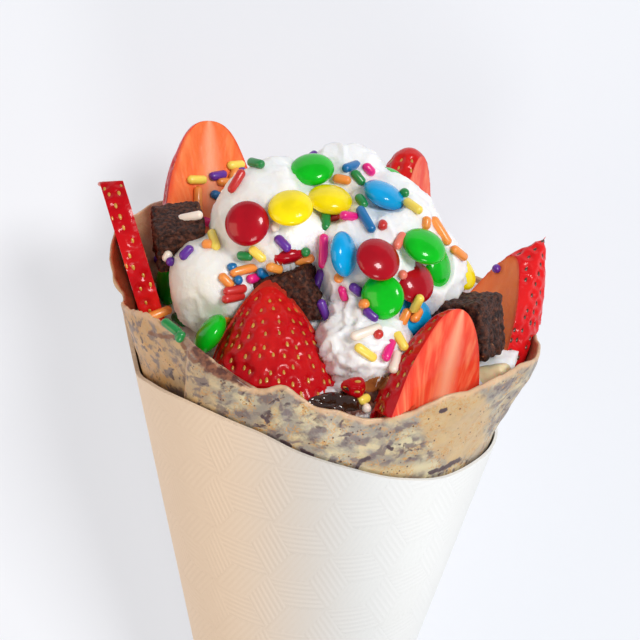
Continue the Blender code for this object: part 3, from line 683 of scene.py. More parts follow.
def make_sleeve():
    """The paper cone, closed at its tip, with a lapped seam down the back."""
    azimuths = [360 * column / PAPER_COLUMNS for column in range(PAPER_COLUMNS)]
    points = [on_table(cone_point(0, 0, 0))]
    flat = [unrolled(0, 0)]
    for inner in (False, True):
        rows = range(1, PAPER_ROWS + 1)
        for row in reversed(rows) if inner else rows:
            for azimuth in azimuths:
                slant = sleeve_rim(azimuth) * row / PAPER_ROWS
                lap = SEAM_STEP * smooth(1 - ((azimuth - SEAM_AZIMUTH) % 360) / 360)
                sway = PAPER_SWAY * noise.noise(cone_point(azimuth, slant, 0) / 24)
                out = -PAPER_THICK if inner else lap
                points.append(on_table(cone_point(azimuth, slant, out + min(sway, 0)), PAPER_THICK * inner))
                flat.append(unrolled((azimuth + 180) % 360 - 180, slant))
    points.append(on_table(Vector((0, 0, PAPER_THICK / math.sin(HALF_ANGLE))), PAPER_THICK))
    flat.append(unrolled(0, PAPER_THICK))
    tint = [paper_tint(stood_up(point)) for point in points]
    faces = ring_faces(2 * PAPER_ROWS, PAPER_COLUMNS)
    return add_piece("paper_sleeve", points, faces, paper_material(), "paper", ["sleeve"], 50,
                     flat=flat, tint=tint)


# Crepe.
CREPE_COLUMNS = 640
CREPE_HIDDEN_ROWS = 8
CREPE_SHOWN_ROWS = 44
CREPE_EDGE_THICK = 0.9
CREPE_MARKS = (
    (13, ((198, 352), (208, 366), (222, 373), (250, 381))),
    (36, ((440, 424), (470, 412)), ((452, 440), (466, 436))),
    (5, ((430, 473), (446, 467), (460, 459)), ((354, 472), (361, 461), (369, 458)), ((281, 440), (290, 446)),
     ((302, 450), (312, 455)), ((262, 416), (268, 422)), ((388, 447), (392, 449)), ((440, 412), (446, 409))),
    (11, ((366, 470), (400, 472), (436, 464))),
    (5, ((150, 333), (163, 337), (177, 336), (185, 348)), ((186, 352), (194, 362), (200, 360))),
    (12, ((187, 333), (190, 345), (202, 354))),
)
CREPE_MID_RADIUS = 45.0
CREPE_RAGGED = 0.25
CREPE_TORN = 0.9
CREPE_TORN_SHEET = (285, 372)
CREPE_MARKED_TO = 8
# Painted warm light rises towards the left.
CREPE_PAINTED_WARM_LIGHT_COLUMNS = (250, 110)
CREPE_COLOURS = {
    "batter": (0.68, 0.585, 0.365),
    "baked": (0.59, 0.45, 0.24),
    # painted warm light towards the left
    "warm": (0.62, 0.34, 0.11),
    "bloom": (0.29, 0.255, 0.22),
    "gold": (0.62, 0.42, 0.20),
    "ring": (0.60, 0.29, 0.07),
    "blot": (0.16, 0.115, 0.12),
    "core": (0.075, 0.04, 0.045),
    "dark": (0.085, 0.05, 0.055),
    "speck": (0.10, 0.04, 0.02),
    "edge": (0.74, 0.47, 0.27),
    "lining": (0.62, 0.40, 0.21),
    "lining_baked": (0.36, 0.18, 0.09),
    "lip": (0.36, 0.22, 0.16),
    "torn": (0.24, 0.09, 0.03),
    "stain": (0.10, 0.03, 0.02),
    "stain_thin": (0.27, 0.10, 0.05),
}


def crepe_material():
    """Pale batter under a blue-grey bloom, with soft dark blotches, golden rings, specks, a tan rim and
    painted warm light towards the left.
    """
    graph = Graph("crepe")
    flat = graph.read("flat")
    from_rim, inner, warm = graph.parts(graph.read("rim"))
    stain, golden, dark = graph.parts(graph.read("marks"))
    plain, torn, lip = graph.parts(graph.read("more_marks"))
    drawn = graph.vectors("MULTIPLY", flat, (0.85, 1.0, 1.0))
    tones = CREPE_COLOURS
    colour = graph.mix(graph.patches(flat, 9, 0.38, 0.64, 3), tones["batter"], tones["baked"])
    # Painted warm light towards the left, which also thins the bloom.
    colour = graph.cover(colour, warm, 0.9, tones["warm"])
    bloom = graph.patches(drawn, 5.0, 0.34, 0.60, 4, 0.6, 0.3)
    bloom = graph.times(bloom, graph.less(1.0, graph.times(warm, 0.8)))
    bloom = graph.times(bloom, graph.less(0.9, graph.times(plain, 0.85)))
    colour = graph.mix(bloom, colour, tones["bloom"])
    gold = graph.plus(golden, graph.times(graph.noise(flat, 3.0, 3), 0.7))
    gold = graph.between(gold, 0.55, 0.95)
    colour = graph.cover(colour, gold, 0.85, tones["gold"])
    calm = graph.less(1.0, graph.math("MAXIMUM", graph.times(gold, 0.9), plain))
    ring = graph.math("ABSOLUTE", graph.less(graph.noise(flat, 1.9, 2, 0.6), 0.5))
    ring = graph.times(graph.between(ring, 0.035, 0.012), graph.patches(flat, 5, 0.44, 0.56, 1))
    colour = graph.cover(colour, ring, 0.8, tones["ring"])
    blots = graph.times(graph.patches(drawn, 2.8, 0.485, 0.62, 3, 0.55, 0.3), calm)
    colour = graph.cover(colour, blots, 0.8, tones["blot"])
    cores = graph.patches(drawn, 1.7, 0.55, 0.64, 2, 0.5, 0.3)
    cores = graph.times(cores, graph.times(graph.patches(flat, 7, 0.42, 0.58, 1), calm))
    colour = graph.cover(colour, cores, 0.9, tones["core"])
    edged = graph.plus(dark, graph.times(graph.noise(flat, 1.1, 2), 0.9))
    colour = graph.mix(graph.between(edged, 0.95, 1.25), colour, tones["dark"])
    specks = graph.between(graph.cells(flat, 1.5), 0.20, 0.10)
    specks = graph.times(specks, graph.patches(flat, 5, 0.44, 0.54, 1))
    colour = graph.mix(specks, colour, tones["speck"])
    edge = graph.plus(from_rim, graph.times(graph.noise(flat, 6, 3), -2.2))
    colour = graph.cover(colour, graph.between(edge, 0.5, -0.8), 0.75, tones["edge"])
    lining = graph.mix(graph.noise(flat, 4, 3), tones["lining"], tones["lining_baked"])
    colour = graph.mix(inner, colour, lining)
    rough = graph.times(graph.noise(flat, 2.0, 4, 0.65), 1.4)
    colour = graph.mix(graph.between(graph.plus(lip, rough), 1.0, 1.7), colour, tones["lip"])
    colour = graph.mix(graph.between(graph.plus(torn, rough), 1.1, 1.6), colour, tones["torn"])
    brown = graph.mix(graph.patches(flat, 1.8, 0.4, 0.6, 2), tones["stain"], tones["stain_thin"])
    colour = graph.mix(graph.between(graph.plus(stain, rough), 1.0, 1.5), colour, brown)
    relief = graph.bump(graph.noise(flat, 3.0, 3), 0.35)
    relief = graph.bump(graph.noise(flat, 0.7, 2), 0.08, relief)
    graph.set(Base_Color=colour, Roughness=0.46, Normal=relief, Subsurface_Weight=0.1, Subsurface_Scale=0.002,
              Coat_Weight=0.15, Coat_Roughness=0.3)
    return graph.material


def crepe_column(sheet):
    """One cut across the sheet, from the bottom of its outer face over the rim and down its inner face."""
    torn_from, torn_to = CREPE_TORN_SHEET
    ragged = CREPE_RAGGED + CREPE_TORN * smooth((sheet - torn_from) / 20) * smooth((torn_to - sheet) / 20)
    edge = crepe_rim(sheet)
    edge += ragged * noise.noise(Vector((sheet / 4.0, 3, 0)))
    edge += 0.4 * ragged * noise.noise(Vector((sheet / 1.2, 9, 0)))
    paper = min(sleeve_rim(crepe_azimuth(sheet, edge)) - 1.5, edge - 4)
    hidden = (paper - CREPE_BOTTOM) / CREPE_HIDDEN_ROWS
    slants = [CREPE_BOTTOM + hidden * row for row in range(CREPE_HIDDEN_ROWS)]
    slants += [paper + (edge - paper) * row / CREPE_SHOWN_ROWS for row in range(CREPE_SHOWN_ROWS + 1)]
    floor = INSIDE_PAPER + crepe_depth(sheet)
    end = min(sheet, 360 + CREPE_OVERLAP - sheet) * 0.8
    column = []
    for slant in slants:
        below = edge - slant
        azimuth = crepe_azimuth(sheet, slant)
        free = smooth((slant - sleeve_rim(azimuth) + 1) / 4)
        where = Vector((sheet * 0.8, slant, 0))
        sway = free * (0.5 * noise.noise(where / 9) + 0.22 * noise.noise(where / 3.2))
        thick = CREPE_EDGE_THICK + (CREPE_THICK - CREPE_EDGE_THICK) * smooth(below / 5) * smooth(end / 4)
        thick *= 0.5 + 0.5 * smooth(min(below, end) / 0.6)
        middle = crepe_out(sheet, slant) - CREPE_THICK / 2 + sway
        column.append((slant, azimuth, middle, thick, below, floor))
    return column


def make_crepe():
    """The crepe's sheet, wrapped round the cone and on beneath its own outer edge."""
    points = []
    flat = []
    rim = []
    marks = []
    more_marks = []
    for index in range(CREPE_COLUMNS + 1):
        sheet = (360 + CREPE_OVERLAP) * index / CREPE_COLUMNS
        column = crepe_column(sheet)
        for side in (1, -1):
            for slant, azimuth, middle, thick, below, floor in column if side > 0 else reversed(column):
                point = cone_point(azimuth, slant, middle + side * thick / 2)
                level = floor if side > 0 else floor + thick
                points.append(on_table(point, level))
                flat.append((math.radians(sheet) * CREPE_MID_RADIUS, slant, 0))
                inner = 1.0 if side < 0 and below > 0.3 else 0.0
                # The rim's third number is the share of painted warm light towards the left.
                rim.append((min(below, 0.4 + sheet * 0.8), inner, to_left(point, *CREPE_PAINTED_WARM_LIGHT_COLUMNS)))
                cover = shown_side_marks(point, CREPE_MARKS) if point.y < CREPE_MARKED_TO else [0.0] * 6
                marks.append(cover[:3])
                more_marks.append(cover[3:])
    around = len(points) // (CREPE_COLUMNS + 1)
    faces = []
    for index in range(CREPE_COLUMNS):
        for here in range(around):
            beside = (here + 1) % around
            low = index * around
            high = low + around
            faces.append((low + here, low + beside, high + beside, high + here))
    half = around // 2
    for low in (0, CREPE_COLUMNS * around):
        for here in range(half - 1):
            faces.append((low + here, low + here + 1, low + around - 2 - here, low + around - 1 - here))
    return add_piece("crepe_sheet", points, faces, crepe_material(), "crepe", ["crepe"],
                     flat=flat, rim=rim, marks=marks, more_marks=more_marks)


# Whipped cream.
CREAM_MARKS = (
    (60, ((150, 290), (230, 250), (250, 190))),
    (60, ((350, 290), (350, 400))),
)
CREAM_LOW = ((15, ((300, 396), (345, 408), (385, 412), (430, 400), (475, 384), (510, 372)),
              ((215, 352), (235, 372), (262, 386))),)
CREAM_LOW_BY = 2.6
CREAM_STAIN = ((17, ((318, 404), (345, 402), (374, 396))),)
CREAM_BEND = 3.0
CREAM_BEND_SIZE = 7
CREAM_BENDS = (Vector((0, 0, 0)), Vector((31, 7, 19)), Vector((11, 43, 5)))
SWELL_SIZE = 7.5
FOLD_SIZE = 4.6
FOLD_PLACE = Vector((3, 8, 1))
CURD_SIZE = 2.4
CURD_PLACE = Vector((7, 1, 4))
GRAIN_SIZE = 1.2
# Painted warm light rises towards the left; painted shade, a little warm, lies in the hollows.
CREAM_PAINTED_WARM_LIGHT_COLUMNS = (330, 150)
CREAM_COLOUR = (0.97, 0.965, 0.955)
CREAM_PAINTED_WARM_LIGHT = (0.97, 0.90, 0.80)
CREAM_PAINTED_HOLLOW_SHADE = (0.96, 0.89, 0.82)
CREAM_STAINED = (0.13, 0.035, 0.018)
CANDY_CLEARING = 3.5
CANDY_BEFORE = 9.0
CANDY_CALM_FROM = 4.0
CANDY_CALM_WIDTH = 3.5
CANDY_SIDE = 3.6
CANDY_SIDE_WIDTH = 2.4
SUNK_CANDIES = (
    "candy_green_back", "candy_red_low", "candy_red_right", "candy_orange_low", "candy_yellow_far")


def cream_material():
    """Soft white, with painted warm light on the left and painted shade, a little warm, in its hollows."""
    graph = Graph("whipped_cream")
    place = graph.read("place")
    painted_hollow_shade, warm, stained = graph.parts(graph.read("tint"))
    # Painted warm light towards the left.
    colour = graph.cover(CREAM_COLOUR, warm, 0.7, CREAM_PAINTED_WARM_LIGHT)
    # Painted shade in the hollows, stronger under the painted warm light.
    hollow = graph.times(painted_hollow_shade, graph.plus(graph.times(warm, 0.5), 0.35))
    colour = graph.mix(hollow, colour, CREAM_PAINTED_HOLLOW_SHADE)
    rough = graph.times(graph.noise(place, 1.6, 3, 0.6), 0.8)
    colour = graph.mix(graph.between(graph.plus(stained, rough), 0.75, 1.15), colour, CREAM_STAINED)
    relief = graph.bump(graph.noise(place, 2.0, 4, 0.55), 0.3)
    relief = graph.bump(graph.noise(place, 0.6, 3), 0.06, relief)
    graph.set(Base_Color=colour, Roughness=0.4, Normal=relief, Subsurface_Weight=0.6, Subsurface_Scale=0.003,
              Subsurface_Radius=(1.0, 0.85, 0.7), Coat_Weight=0.15, Coat_Roughness=0.25)
    return graph.material


def cream_detail(point):
    """How far the whipped surface stands out, in broken ridges with soft crests, and how much painted shade
    its hollows get.
    """
    calm, curds = shown_side_marks(point, CREAM_MARKS) if point.y < 12 else (0.0, 0.0)
    rough = 0.75 + 0.55 * curds - 0.5 * calm
    bend = Vector([noise.noise(point / CREAM_BEND_SIZE + place) for place in CREAM_BENDS])
    bent = point + CREAM_BEND * bend
    swell = noise.noise(bent / SWELL_SIZE)
    folds = abs(noise.noise(bent / FOLD_SIZE + FOLD_PLACE))
    curd = abs(noise.noise(bent / CURD_SIZE + CURD_PLACE))
    grain = noise.noise(point / GRAIN_SIZE)
    height = 1.1 * swell + 0.8 - 2.9 * min(folds, 0.3) - 1.3 * min(curd, 0.3) * (0.3 + curds)
    return rough * height + 0.08 * grain, smooth(1.1 - 3.2 * folds) * smooth(0.8 - swell)


def candy_place(name):
    """A candy's middle and the direction of its short axis, in metres, from its solid."""
    corners = np.array([vert.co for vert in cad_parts[name].data.vertices], float)
    _, _, axes = np.linalg.svd(corners - corners.mean(0))
    return Vector(corners.mean(0)), Vector(axes[2]).normalized()


def clear_of_candies(point, centres):
    """The point, moved back where it would stand before a candy, and how near the next candy is, 0 to 1."""
    near = 0.0
    x, y = pixel_of(point)
    for centre, seen in centres:
        away = (point - centre).length
        near = max(near, 1 - smooth((away - CANDY_CALM_FROM) / CANDY_CALM_WIDTH))
        aside = (math.hypot(x - seen[0], y - seen[1]) * PIXEL - CANDY_SIDE) / CANDY_SIDE_WIDTH
        before = (point - centre).dot(BACK)
        if aside < 1 and 0 < before < CANDY_BEFORE:
            point = point - BACK * min(before, CANDY_CLEARING) * (1 - smooth(aside))
    return point, near


def make_cream():
    """The cream, from its centre out, with its whipped surface, held inside the crepe."""
    shown = [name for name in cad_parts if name.startswith("candy") and name not in SUNK_CANDIES]
    centres = [stood_up(candy_place(name)[0]) for name in shown]
    centres = [(centre, pixel_of(centre)) for centre in centres]
    downs = [CREAM_FINE_STEP * (row + 1) for row in range(CREAM_FINE_ROWS)] + list(CREAM_COARSE_DOWNS)
    grid = np.empty((len(downs), CREAM_COLUMNS, 3))
    for row, down in enumerate(downs):
        for column in range(CREAM_COLUMNS):
            direction = cream_bearing(360 * column / CREAM_COLUMNS, down)
            grid[row, column] = CREAM_CENTRE + direction * cream_reach(direction)
    along_row = np.roll(grid, -1, 1) - np.roll(grid, 1, 1)
    down_rows = np.gradient(grid, axis=0)
    normals = np.cross(along_row, down_rows)
    normals /= np.linalg.norm(normals, axis=2, keepdims=True) + 1e-9
    outward = np.sign(np.sum(normals * (grid - np.array(CREAM_CENTRE)), axis=2, keepdims=True))
    normals *= outward
    points = []
    place = []
    tint = []
    top = CREAM_CENTRE + Vector((0, 0, cream_reach(Vector((0, 0, 1)))))
    bottom = CREAM_CENTRE + Vector((0, 0, -cream_reach(Vector((0, 0, -1)))))

    def put(point, hollow):
        if point.y < 0:
            stained = shown_side_marks(point, CREAM_STAIN)[0]
            point = point - Vector((0, 0, CREAM_LOW_BY * shown_side_marks(point, CREAM_LOW)[0]))
        else:
            stained = 0.0
        points.append(on_table(held_in(point), INSIDE_CREPE))
        place.append(tuple(point))
        # The tint holds painted shade in hollows, painted warm light towards the left and the chocolate
        # stain.
        tint.append((hollow, to_left(point, *CREAM_PAINTED_WARM_LIGHT_COLUMNS), stained))

    put(top, 0.0)
    for row in range(len(downs)):
        for column in range(CREAM_COLUMNS):
            point = Vector(grid[row, column])
            height, hollow = cream_detail(point) if row < CREAM_FINE_ROWS else (0.0, 0.0)
            point, near = clear_of_candies(point, centres)
            height = height * (1 - near) - 0.5 * near
            put(point + Vector(normals[row, column]) * height, hollow)
    put(bottom, 0.0)
    faces = ring_faces(len(downs), CREAM_COLUMNS)
    return add_piece("whipped_cream", points, faces, cream_material(), "cream", ["cream"],
                     place=place, tint=tint)


# Strawberries.
SEED_SPACING = 3.2
SEED_SIZE = (0.36, 0.68, 0.26)
SKIN_UNEVEN = 0.03
BERRY_COLUMNS_PER_RING = 1.3
FAN_CENTRE = 0.55
FAN_STREAKS = (14, 9, 6)
DIMPLE_DEPTH = 0.6
DIMPLE_RADIUS = 0.95
DIMPLE_LIP = 0.14
DIMPLE_LIP_AWAY = 1.75
DIMPLE_LIP_WIDTH = 0.6
SEED_SINK = DIMPLE_DEPTH - 0.12
SEEDS_FROM = 0.06
SEEDS_TO = 0.965
SEED_ROWS_APART = 0.87
SEED_STRAY = 0.11
SEED_STRAY_ALONG = 0.015
SEED_DARK_COLUMNS = (400, -90)
SEED_COLOURS = ((0.66, 0.36, 0.05), (0.50, 0.25, 0.03), (0.09, 0.03, 0.012))
# Painted light: lighter skin and flesh on two berries.
BERRY_PAINTED_LIGHT = {"strawberry_right": 1.0, "strawberry_back_left": 0.7}


def berry_radius(share, berry):
    """A strawberry's radius from its hull end, 0, to its tip, 1."""
    if share < BERRY_SHOULDER:
        past = (BERRY_SHOULDER - share) / BERRY_SHOULDER
        return berry.width / 2 * math.sqrt(max(0.0, 1 - past ** 2.2))
    past = (share - BERRY_SHOULDER) / (1 - BERRY_SHOULDER)
    return berry.width / 2 * max(0.0, 1 - past ** BERRY_TAPER) ** berry.power


def skin_point(berry, share, angle):
    """A point of the whole berry's skin in its own coordinates, a little uneven."""
    radius = berry_radius(share, berry)
    point = Vector((radius * math.cos(angle), (share - 0.5) * berry.length, radius * math.sin(angle)))
    return point * (1 + SKIN_UNEVEN * noise.noise(point / 9 + Vector((berry.length, berry.width, 0))))


def cut_back(point, cuts):
    """The point moved onto each cut that takes it off, and how far it was moved."""
    moved = 0.0
    for place, side in cuts:
        normal = Vector(side).normalized()
        past = (point - Vector(place)).dot(normal)
        if past > 0:
            point = point - normal * past
            moved += past
    return point, moved


def seed_places(berry, draw):
    """Seeds in staggered rows over the skin, each with its place, its way to the tip and its way out."""
    places = []
    share = SEEDS_FROM
    shift = 0.0
    while share < SEEDS_TO:
        radius = berry_radius(share, berry)
        count = max(3, round(2 * math.pi * radius / SEED_SPACING))
        for number in range(count):
            angle = 2 * math.pi * (number + shift) / count + draw.uniform(-SEED_STRAY, SEED_STRAY)
            at = share + draw.uniform(-SEED_STRAY_ALONG, SEED_STRAY_ALONG)
            here = skin_point(berry, at, angle)
            ahead = (skin_point(berry, at + 0.01, angle) - here).normalized()
            aside = (skin_point(berry, at, angle + 0.02) - here).normalized()
            out = aside.cross(ahead)
            out = out if out.dot(Vector((here.x, 0, here.z))) > 0 else -out
            if cut_back(here, berry.cuts)[1] == 0:
                places.append((here, ahead, out))
        slope = math.hypot(1, (berry_radius(share + 0.01, berry) - radius) / (0.01 * berry.length))
        share += SEED_SPACING * SEED_ROWS_APART / (berry.length * slope)
        shift = 0.5 - shift
    return places


def strawberry_material():
    """Wet red skin, and on the cuts paler flesh with streaks that fan out of the core, with painted light on
    some berries.
    """
    graph = Graph("strawberry")
    place = graph.read("place")
    flesh, core, ripe = graph.parts(graph.read("kind"))
    fan = graph.read("fan")
    bright = graph.read("bright", number=True)
    blush = graph.between(graph.plus(graph.noise(place, 9, 2), ripe), 0.45, 1.15)
    skin = graph.mix(blush, (0.50, 0.0, 0.005), (0.70, 0.015, 0.012))
    # Painted light makes the skin a lighter red.
    skin = graph.cover(skin, bright, 0.6, (0.84, 0.014, 0.016))
    streaks = graph.noise(fan, 1.0, 2.5, 0.6)
    body = graph.mix(graph.between(streaks, 0.40, 0.70), (0.84, 0.055, 0.022), (0.93, 0.20, 0.085))
    pale = graph.between(graph.plus(core, graph.times(streaks, 0.5)), 0.62, 0.22)
    # Painted light makes the flesh a lighter orange.
    body = graph.cover(body, bright, 0.6, (1.0, 0.32, 0.07))
    body = graph.cover(body, pale, 0.75, (0.96, 0.44, 0.26))
    body = graph.cover(body, graph.between(core, 0.86, 1.0), 0.6, (0.72, 0.03, 0.018))
    colour = graph.mix(graph.between(flesh, 0.35, 0.65), skin, body)
    relief = graph.bump(graph.noise(place, 1.2, 3), 0.12)
    relief = graph.bump(streaks, 0.25, relief)
    graph.set(Base_Color=colour, Roughness=0.3, Normal=relief, Subsurface_Weight=0.08, Subsurface_Scale=0.002,
              Subsurface_Radius=(1.0, 0.25, 0.15), Specular_IOR_Level=0.1, Coat_Weight=0.28,
              Coat_Roughness=0.05)
    return graph.material


def make_strawberry(name, berry, material, draw):
    """A piece of strawberry at the solid's place, with dimples round its seeds. Returns it and its seeds."""
    seeds = seed_places(berry, draw)
    finder = kdtree.KDTree(max(1, len(seeds)))
    for index, (here, _, _) in enumerate(seeds):
        finder.insert(here, index)
    finder.balance()
    rings = berry.rings
    columns = round(rings * BERRY_COLUMNS_PER_RING)
    matrix = posed(berry.pose)
    whole = [skin_point(berry, 0, 0)]
    for ring in range(1, rings):
        share = 0.5 - 0.5 * math.cos(math.pi * ring / rings)
        for column in range(columns):
            whole.append(skin_point(berry, share, 2 * math.pi * (column + 0.5) / columns))
    whole.append(skin_point(berry, 1, 0))
    points = []
    place = []
    kind = []
    fan = []
    around, along, through = FAN_STREAKS
    for point in whole:
        point, moved = cut_back(point, berry.cuts)
        share = point.y / berry.length + 0.5
        radius = max(berry_radius(min(max(share, 0.0), 1.0), berry), 0.1)
        if moved == 0 and seeds and radius > 0.3:
            away = finder.find(point)[2]
            dent = DIMPLE_DEPTH * math.exp(-(away / DIMPLE_RADIUS) ** 2)
            dent -= DIMPLE_LIP * math.exp(-((away - DIMPLE_LIP_AWAY) / DIMPLE_LIP_WIDTH) ** 2)
            inward = Vector((point.x, 0, point.z)).normalized()
            point = point - inward * dent
        upright = matrix @ point
        points.append(on_table(held_in(upright), TOPPING_FLOOR))
        place.append(tuple(point + Vector((berry.width, 0, 0))))
        core = math.hypot(point.x, point.z) / radius
        kind.append((min(1.0, moved * 4), min(core, 1.0), share - 0.5))
        angle = math.atan2(point.x, point.y + berry.length * FAN_CENTRE)
        fan.append((angle * around, math.hypot(point.x, point.y) / along, point.z / through))
    faces = ring_faces(rings - 1, columns)
    obj = add_piece(name + "_piece", points, faces, material, "strawberry", [name], 42,
                    place=place, kind=kind, fan=fan, bright=[BERRY_PAINTED_LIGHT.get(name, 0.0)] * len(points))
    return obj, [(matrix, *seed) for seed in seeds]


def ball_points(rings, columns):
    """Points and faces of a unit ball with its poles on y."""
    points = [(0.0, -1.0, 0.0)]
    for ring in range(1, rings):
        angle = math.pi * ring / rings
        radius = math.sin(angle)
        for column in range(columns):
            turn = 2 * math.pi * column / columns
            points.append((radius * math.cos(turn), -math.cos(angle), radius * math.sin(turn)))
    points.append((0.0, 1.0, 0.0))
    return points, ring_faces(rings - 1, columns)


def joined(parts):
    """Points and faces of several meshes as one, and which part each point is of."""
    points = []
    faces = []
    owners = []
    for index, (part_points, part_faces) in enumerate(parts):
        start = len(points)
        points.extend(part_points)
        faces.extend(tuple(corner + start for corner in face) for face in part_faces)
        owners.extend([index] * len(part_points))
    return points, faces, owners


def basis(first, second):
    """A rotation that turns y to the first direction, and z as near as can be to the second."""
    ahead = first.normalized()
    side = ahead.cross(second).normalized()
    return Matrix((side, ahead, side.cross(ahead))).transposed()


def make_seeds(seeds, draw):
    """All the strawberries' seeds as one piece."""
    unit, faces = ball_points(6, 8)
    parts = []
    tints = []
    for matrix, here, ahead, out in seeds:
        turn = basis(ahead, out)
        size = draw.uniform(0.85, 1.1)
        tints.append((to_left(matrix @ here, *SEED_DARK_COLUMNS), draw.random(), 0))
        middle = here - out * SEED_SINK
        made = []
        for x, y, z in unit:
            taper = 1 - 0.25 * y
            local = Vector((x * SEED_SIZE[0] * taper, y * SEED_SIZE[1], z * SEED_SIZE[2])) * size
            made.append(on_table(held_in(matrix @ (middle + turn @ local))))
        parts.append((made, faces))
    points, faces, owners = joined(parts)
    graph = Graph("strawberry_seeds")
    dark, tint, _ = graph.parts(graph.read("tint"))
    pale, brown, black = SEED_COLOURS
    colour = graph.mix(dark, graph.mix(tint, pale, brown), black)
    graph.set(Base_Color=colour, Roughness=0.3, Coat_Weight=0.6)
    return add_piece("strawberry_seeds", points, faces, graph.material, "strawberry",
                     tint=[tints[owner] for owner in owners])


# Brownies and banana.
CUBE_STEPS = 44
CUBE_BEVEL = 0.9
BANANA_BEVEL = 1.4
CRUMB_SIZE = 1.7


def cube_points(size, rounding):
    """A block of fine squares with rounded edges: points, faces and the way out at each point."""
    work = bmesh.new()
    bmesh.ops.create_cube(work, size=1.0)
    bmesh.ops.subdivide_edges(work, edges=work.edges[:], cuts=CUBE_STEPS - 1, use_grid_fill=True)
    work.verts.index_update()
    half = Vector(size) / 2
    points = []
    outs = []
    for vert in work.verts:
        point = Vector([2 * vert.co[axis] * half[axis] for axis in range(3)])
        flat = half - Vector([rounding] * 3)
        core = Vector([min(max(point[axis], -flat[axis]), flat[axis]) for axis in range(3)])
        out = (point - core).normalized()
        points.append(core + out * rounding)
        outs.append(out)
    faces = [tuple(vert.index for vert in face.verts) for face in work.faces]
    work.free()
    return points, faces, outs


def brownie_material():
    """Dark, close, grainy cake with a few lighter crumbs."""
    graph = Graph("brownie")
    place = graph.read("place")
    grain = graph.noise(place, 0.9, 4, 0.65)
    colour = graph.mix(graph.between(grain, 0.36, 0.72), (0.014, 0.004, 0.003), (0.13, 0.040, 0.020))
    fleck = graph.between(graph.cells(place, 1.5), 0.2, 0.1)
    fleck = graph.times(fleck, graph.patches(place, 3.5, 0.5, 0.6, 1))
    colour = graph.cover(colour, fleck, 0.7, (0.42, 0.17, 0.06))
    relief = graph.bump(grain, 0.4)
    relief = graph.bump(graph.noise(place, 0.35, 2), 0.1, relief)
    graph.set(Base_Color=colour, Roughness=0.55, Normal=relief, Specular_IOR_Level=0.3)
    return graph.material


def banana_material():
    """Moist, pale yellow fruit."""
    graph = Graph("banana")
    place = graph.read("place")
    colour = graph.mix(graph.noise(place, 2.5, 3), (0.86, 0.76, 0.50), (0.78, 0.64, 0.34))
    graph.set(Base_Color=colour, Roughness=0.4, Normal=graph.bump(graph.noise(place, 1.2, 3), 0.15),
              Subsurface_Weight=0.3, Subsurface_Scale=0.003, Coat_Weight=0.3)
    return graph.material


def make_cube(name, size, pose, material):
    """A crumbly brownie or a smooth piece of banana at the solid's place."""
    crumbly = name.startswith("brownie")
    rounding = CUBE_BEVEL if crumbly else BANANA_BEVEL
    local, faces, outs = cube_points(size, rounding)
    matrix = posed(pose)
    points = []
    for point, out in zip(local, outs):
        where = point + Vector((pose.pixel[0], pose.pixel[1], 0))
        if crumbly:
            cell = noise.voronoi(where / CRUMB_SIZE)[0][0]
            height = 0.35 - 0.75 * cell + 0.5 * noise.noise(where / 4) + 0.25 * noise.noise(where / 0.8)
        else:
            height = 0.2 * noise.noise(where / 2.5)
        points.append(on_table(held_in(matrix @ (point + out * height)), TOPPING_FLOOR))
    slot = "brownie" if crumbly else "banana"
    return add_piece(name + "_block", points, faces, material, slot, [name],
                     place=[tuple(point + Vector((pose.pixel[0], 0, 0))) for point in local])


# Sugar-shelled candies.
CANDY_RADIUS = 4.85
CANDY_HALF_THICK = 2.5
CANDY_APART = 900


def candy_material(colour):
    """A glossy, slightly uneven sugar shell."""
    graph = Graph("candy_" + colour)
    place = graph.read("place")
    base = Vector(CANDY_COLOURS[colour])
    tone = graph.mix(graph.patches(place, 3.5, 0.35, 0.7, 3), base * 0.9, base * 1.05)
    relief = graph.bump(graph.noise(place, 3.0, 2), 0.08)
    graph.set(Base_Color=tone, Roughness=0.25, Normal=relief, Specular_IOR_Level=0.12, Coat_Weight=0.5,
              Coat_Roughness=0.06)
    return graph.material


def make_candy(name, material):
    """A smooth lentil in place of a faceted one: its middle and its short axis are the solid's."""
    centre, axis = candy_place(name)
    turn = basis(axis, axis.orthogonal())
    unit, faces = ball_points(26, 44)
    points = []
    place = []
    for x, y, z in unit:
        local = Vector((x * CANDY_RADIUS, y * CANDY_HALF_THICK, z * CANDY_RADIUS))
        local *= 1 + 0.008 * noise.noise(local / 3 + centre * CANDY_APART)
        points.append(centre + (turn @ local) * MM)
        place.append(tuple(local + centre * CANDY_APART))
    colour = name.split("_")[1]
    return add_piece(name + "_shell", points, faces, material, "candy_" + colour, [name], place=place)


# Surfaces to lay the small things on.
def trees_of(objects):
    """Something to look up the surfaces of pieces in."""
    graph = bpy.context.evaluated_depsgraph_get()
    return [BVHTree.FromObject(obj, graph) for obj in objects]


def seen_surface(pixel, trees):
    """The nearest surface seen at a pixel and its way out, in cone coordinates, or None."""
    start = on_table(EYE, -math.inf)
    ahead = (on_table(EYE + sight(pixel), -math.inf) - start).normalized()
    best = None
    for tree in trees:
        place, normal, _, distance = tree.ray_cast(start, ahead)
        if place and (best is None or distance < best[2]):
            best = place, normal, distance
    if best is None:
        return None
    normal = LAY_DOWN.to_3x3().inverted() @ best[1]
    return stood_up(best[0]), normal if normal.dot(sight(pixel)) < 0 else -normal


class Spread(NamedTuple):
    """A spot of something thick: its middle and half sizes in pixels, its turn and its height."""

    pixel: tuple
    halves: tuple
    degrees: float
    height: float


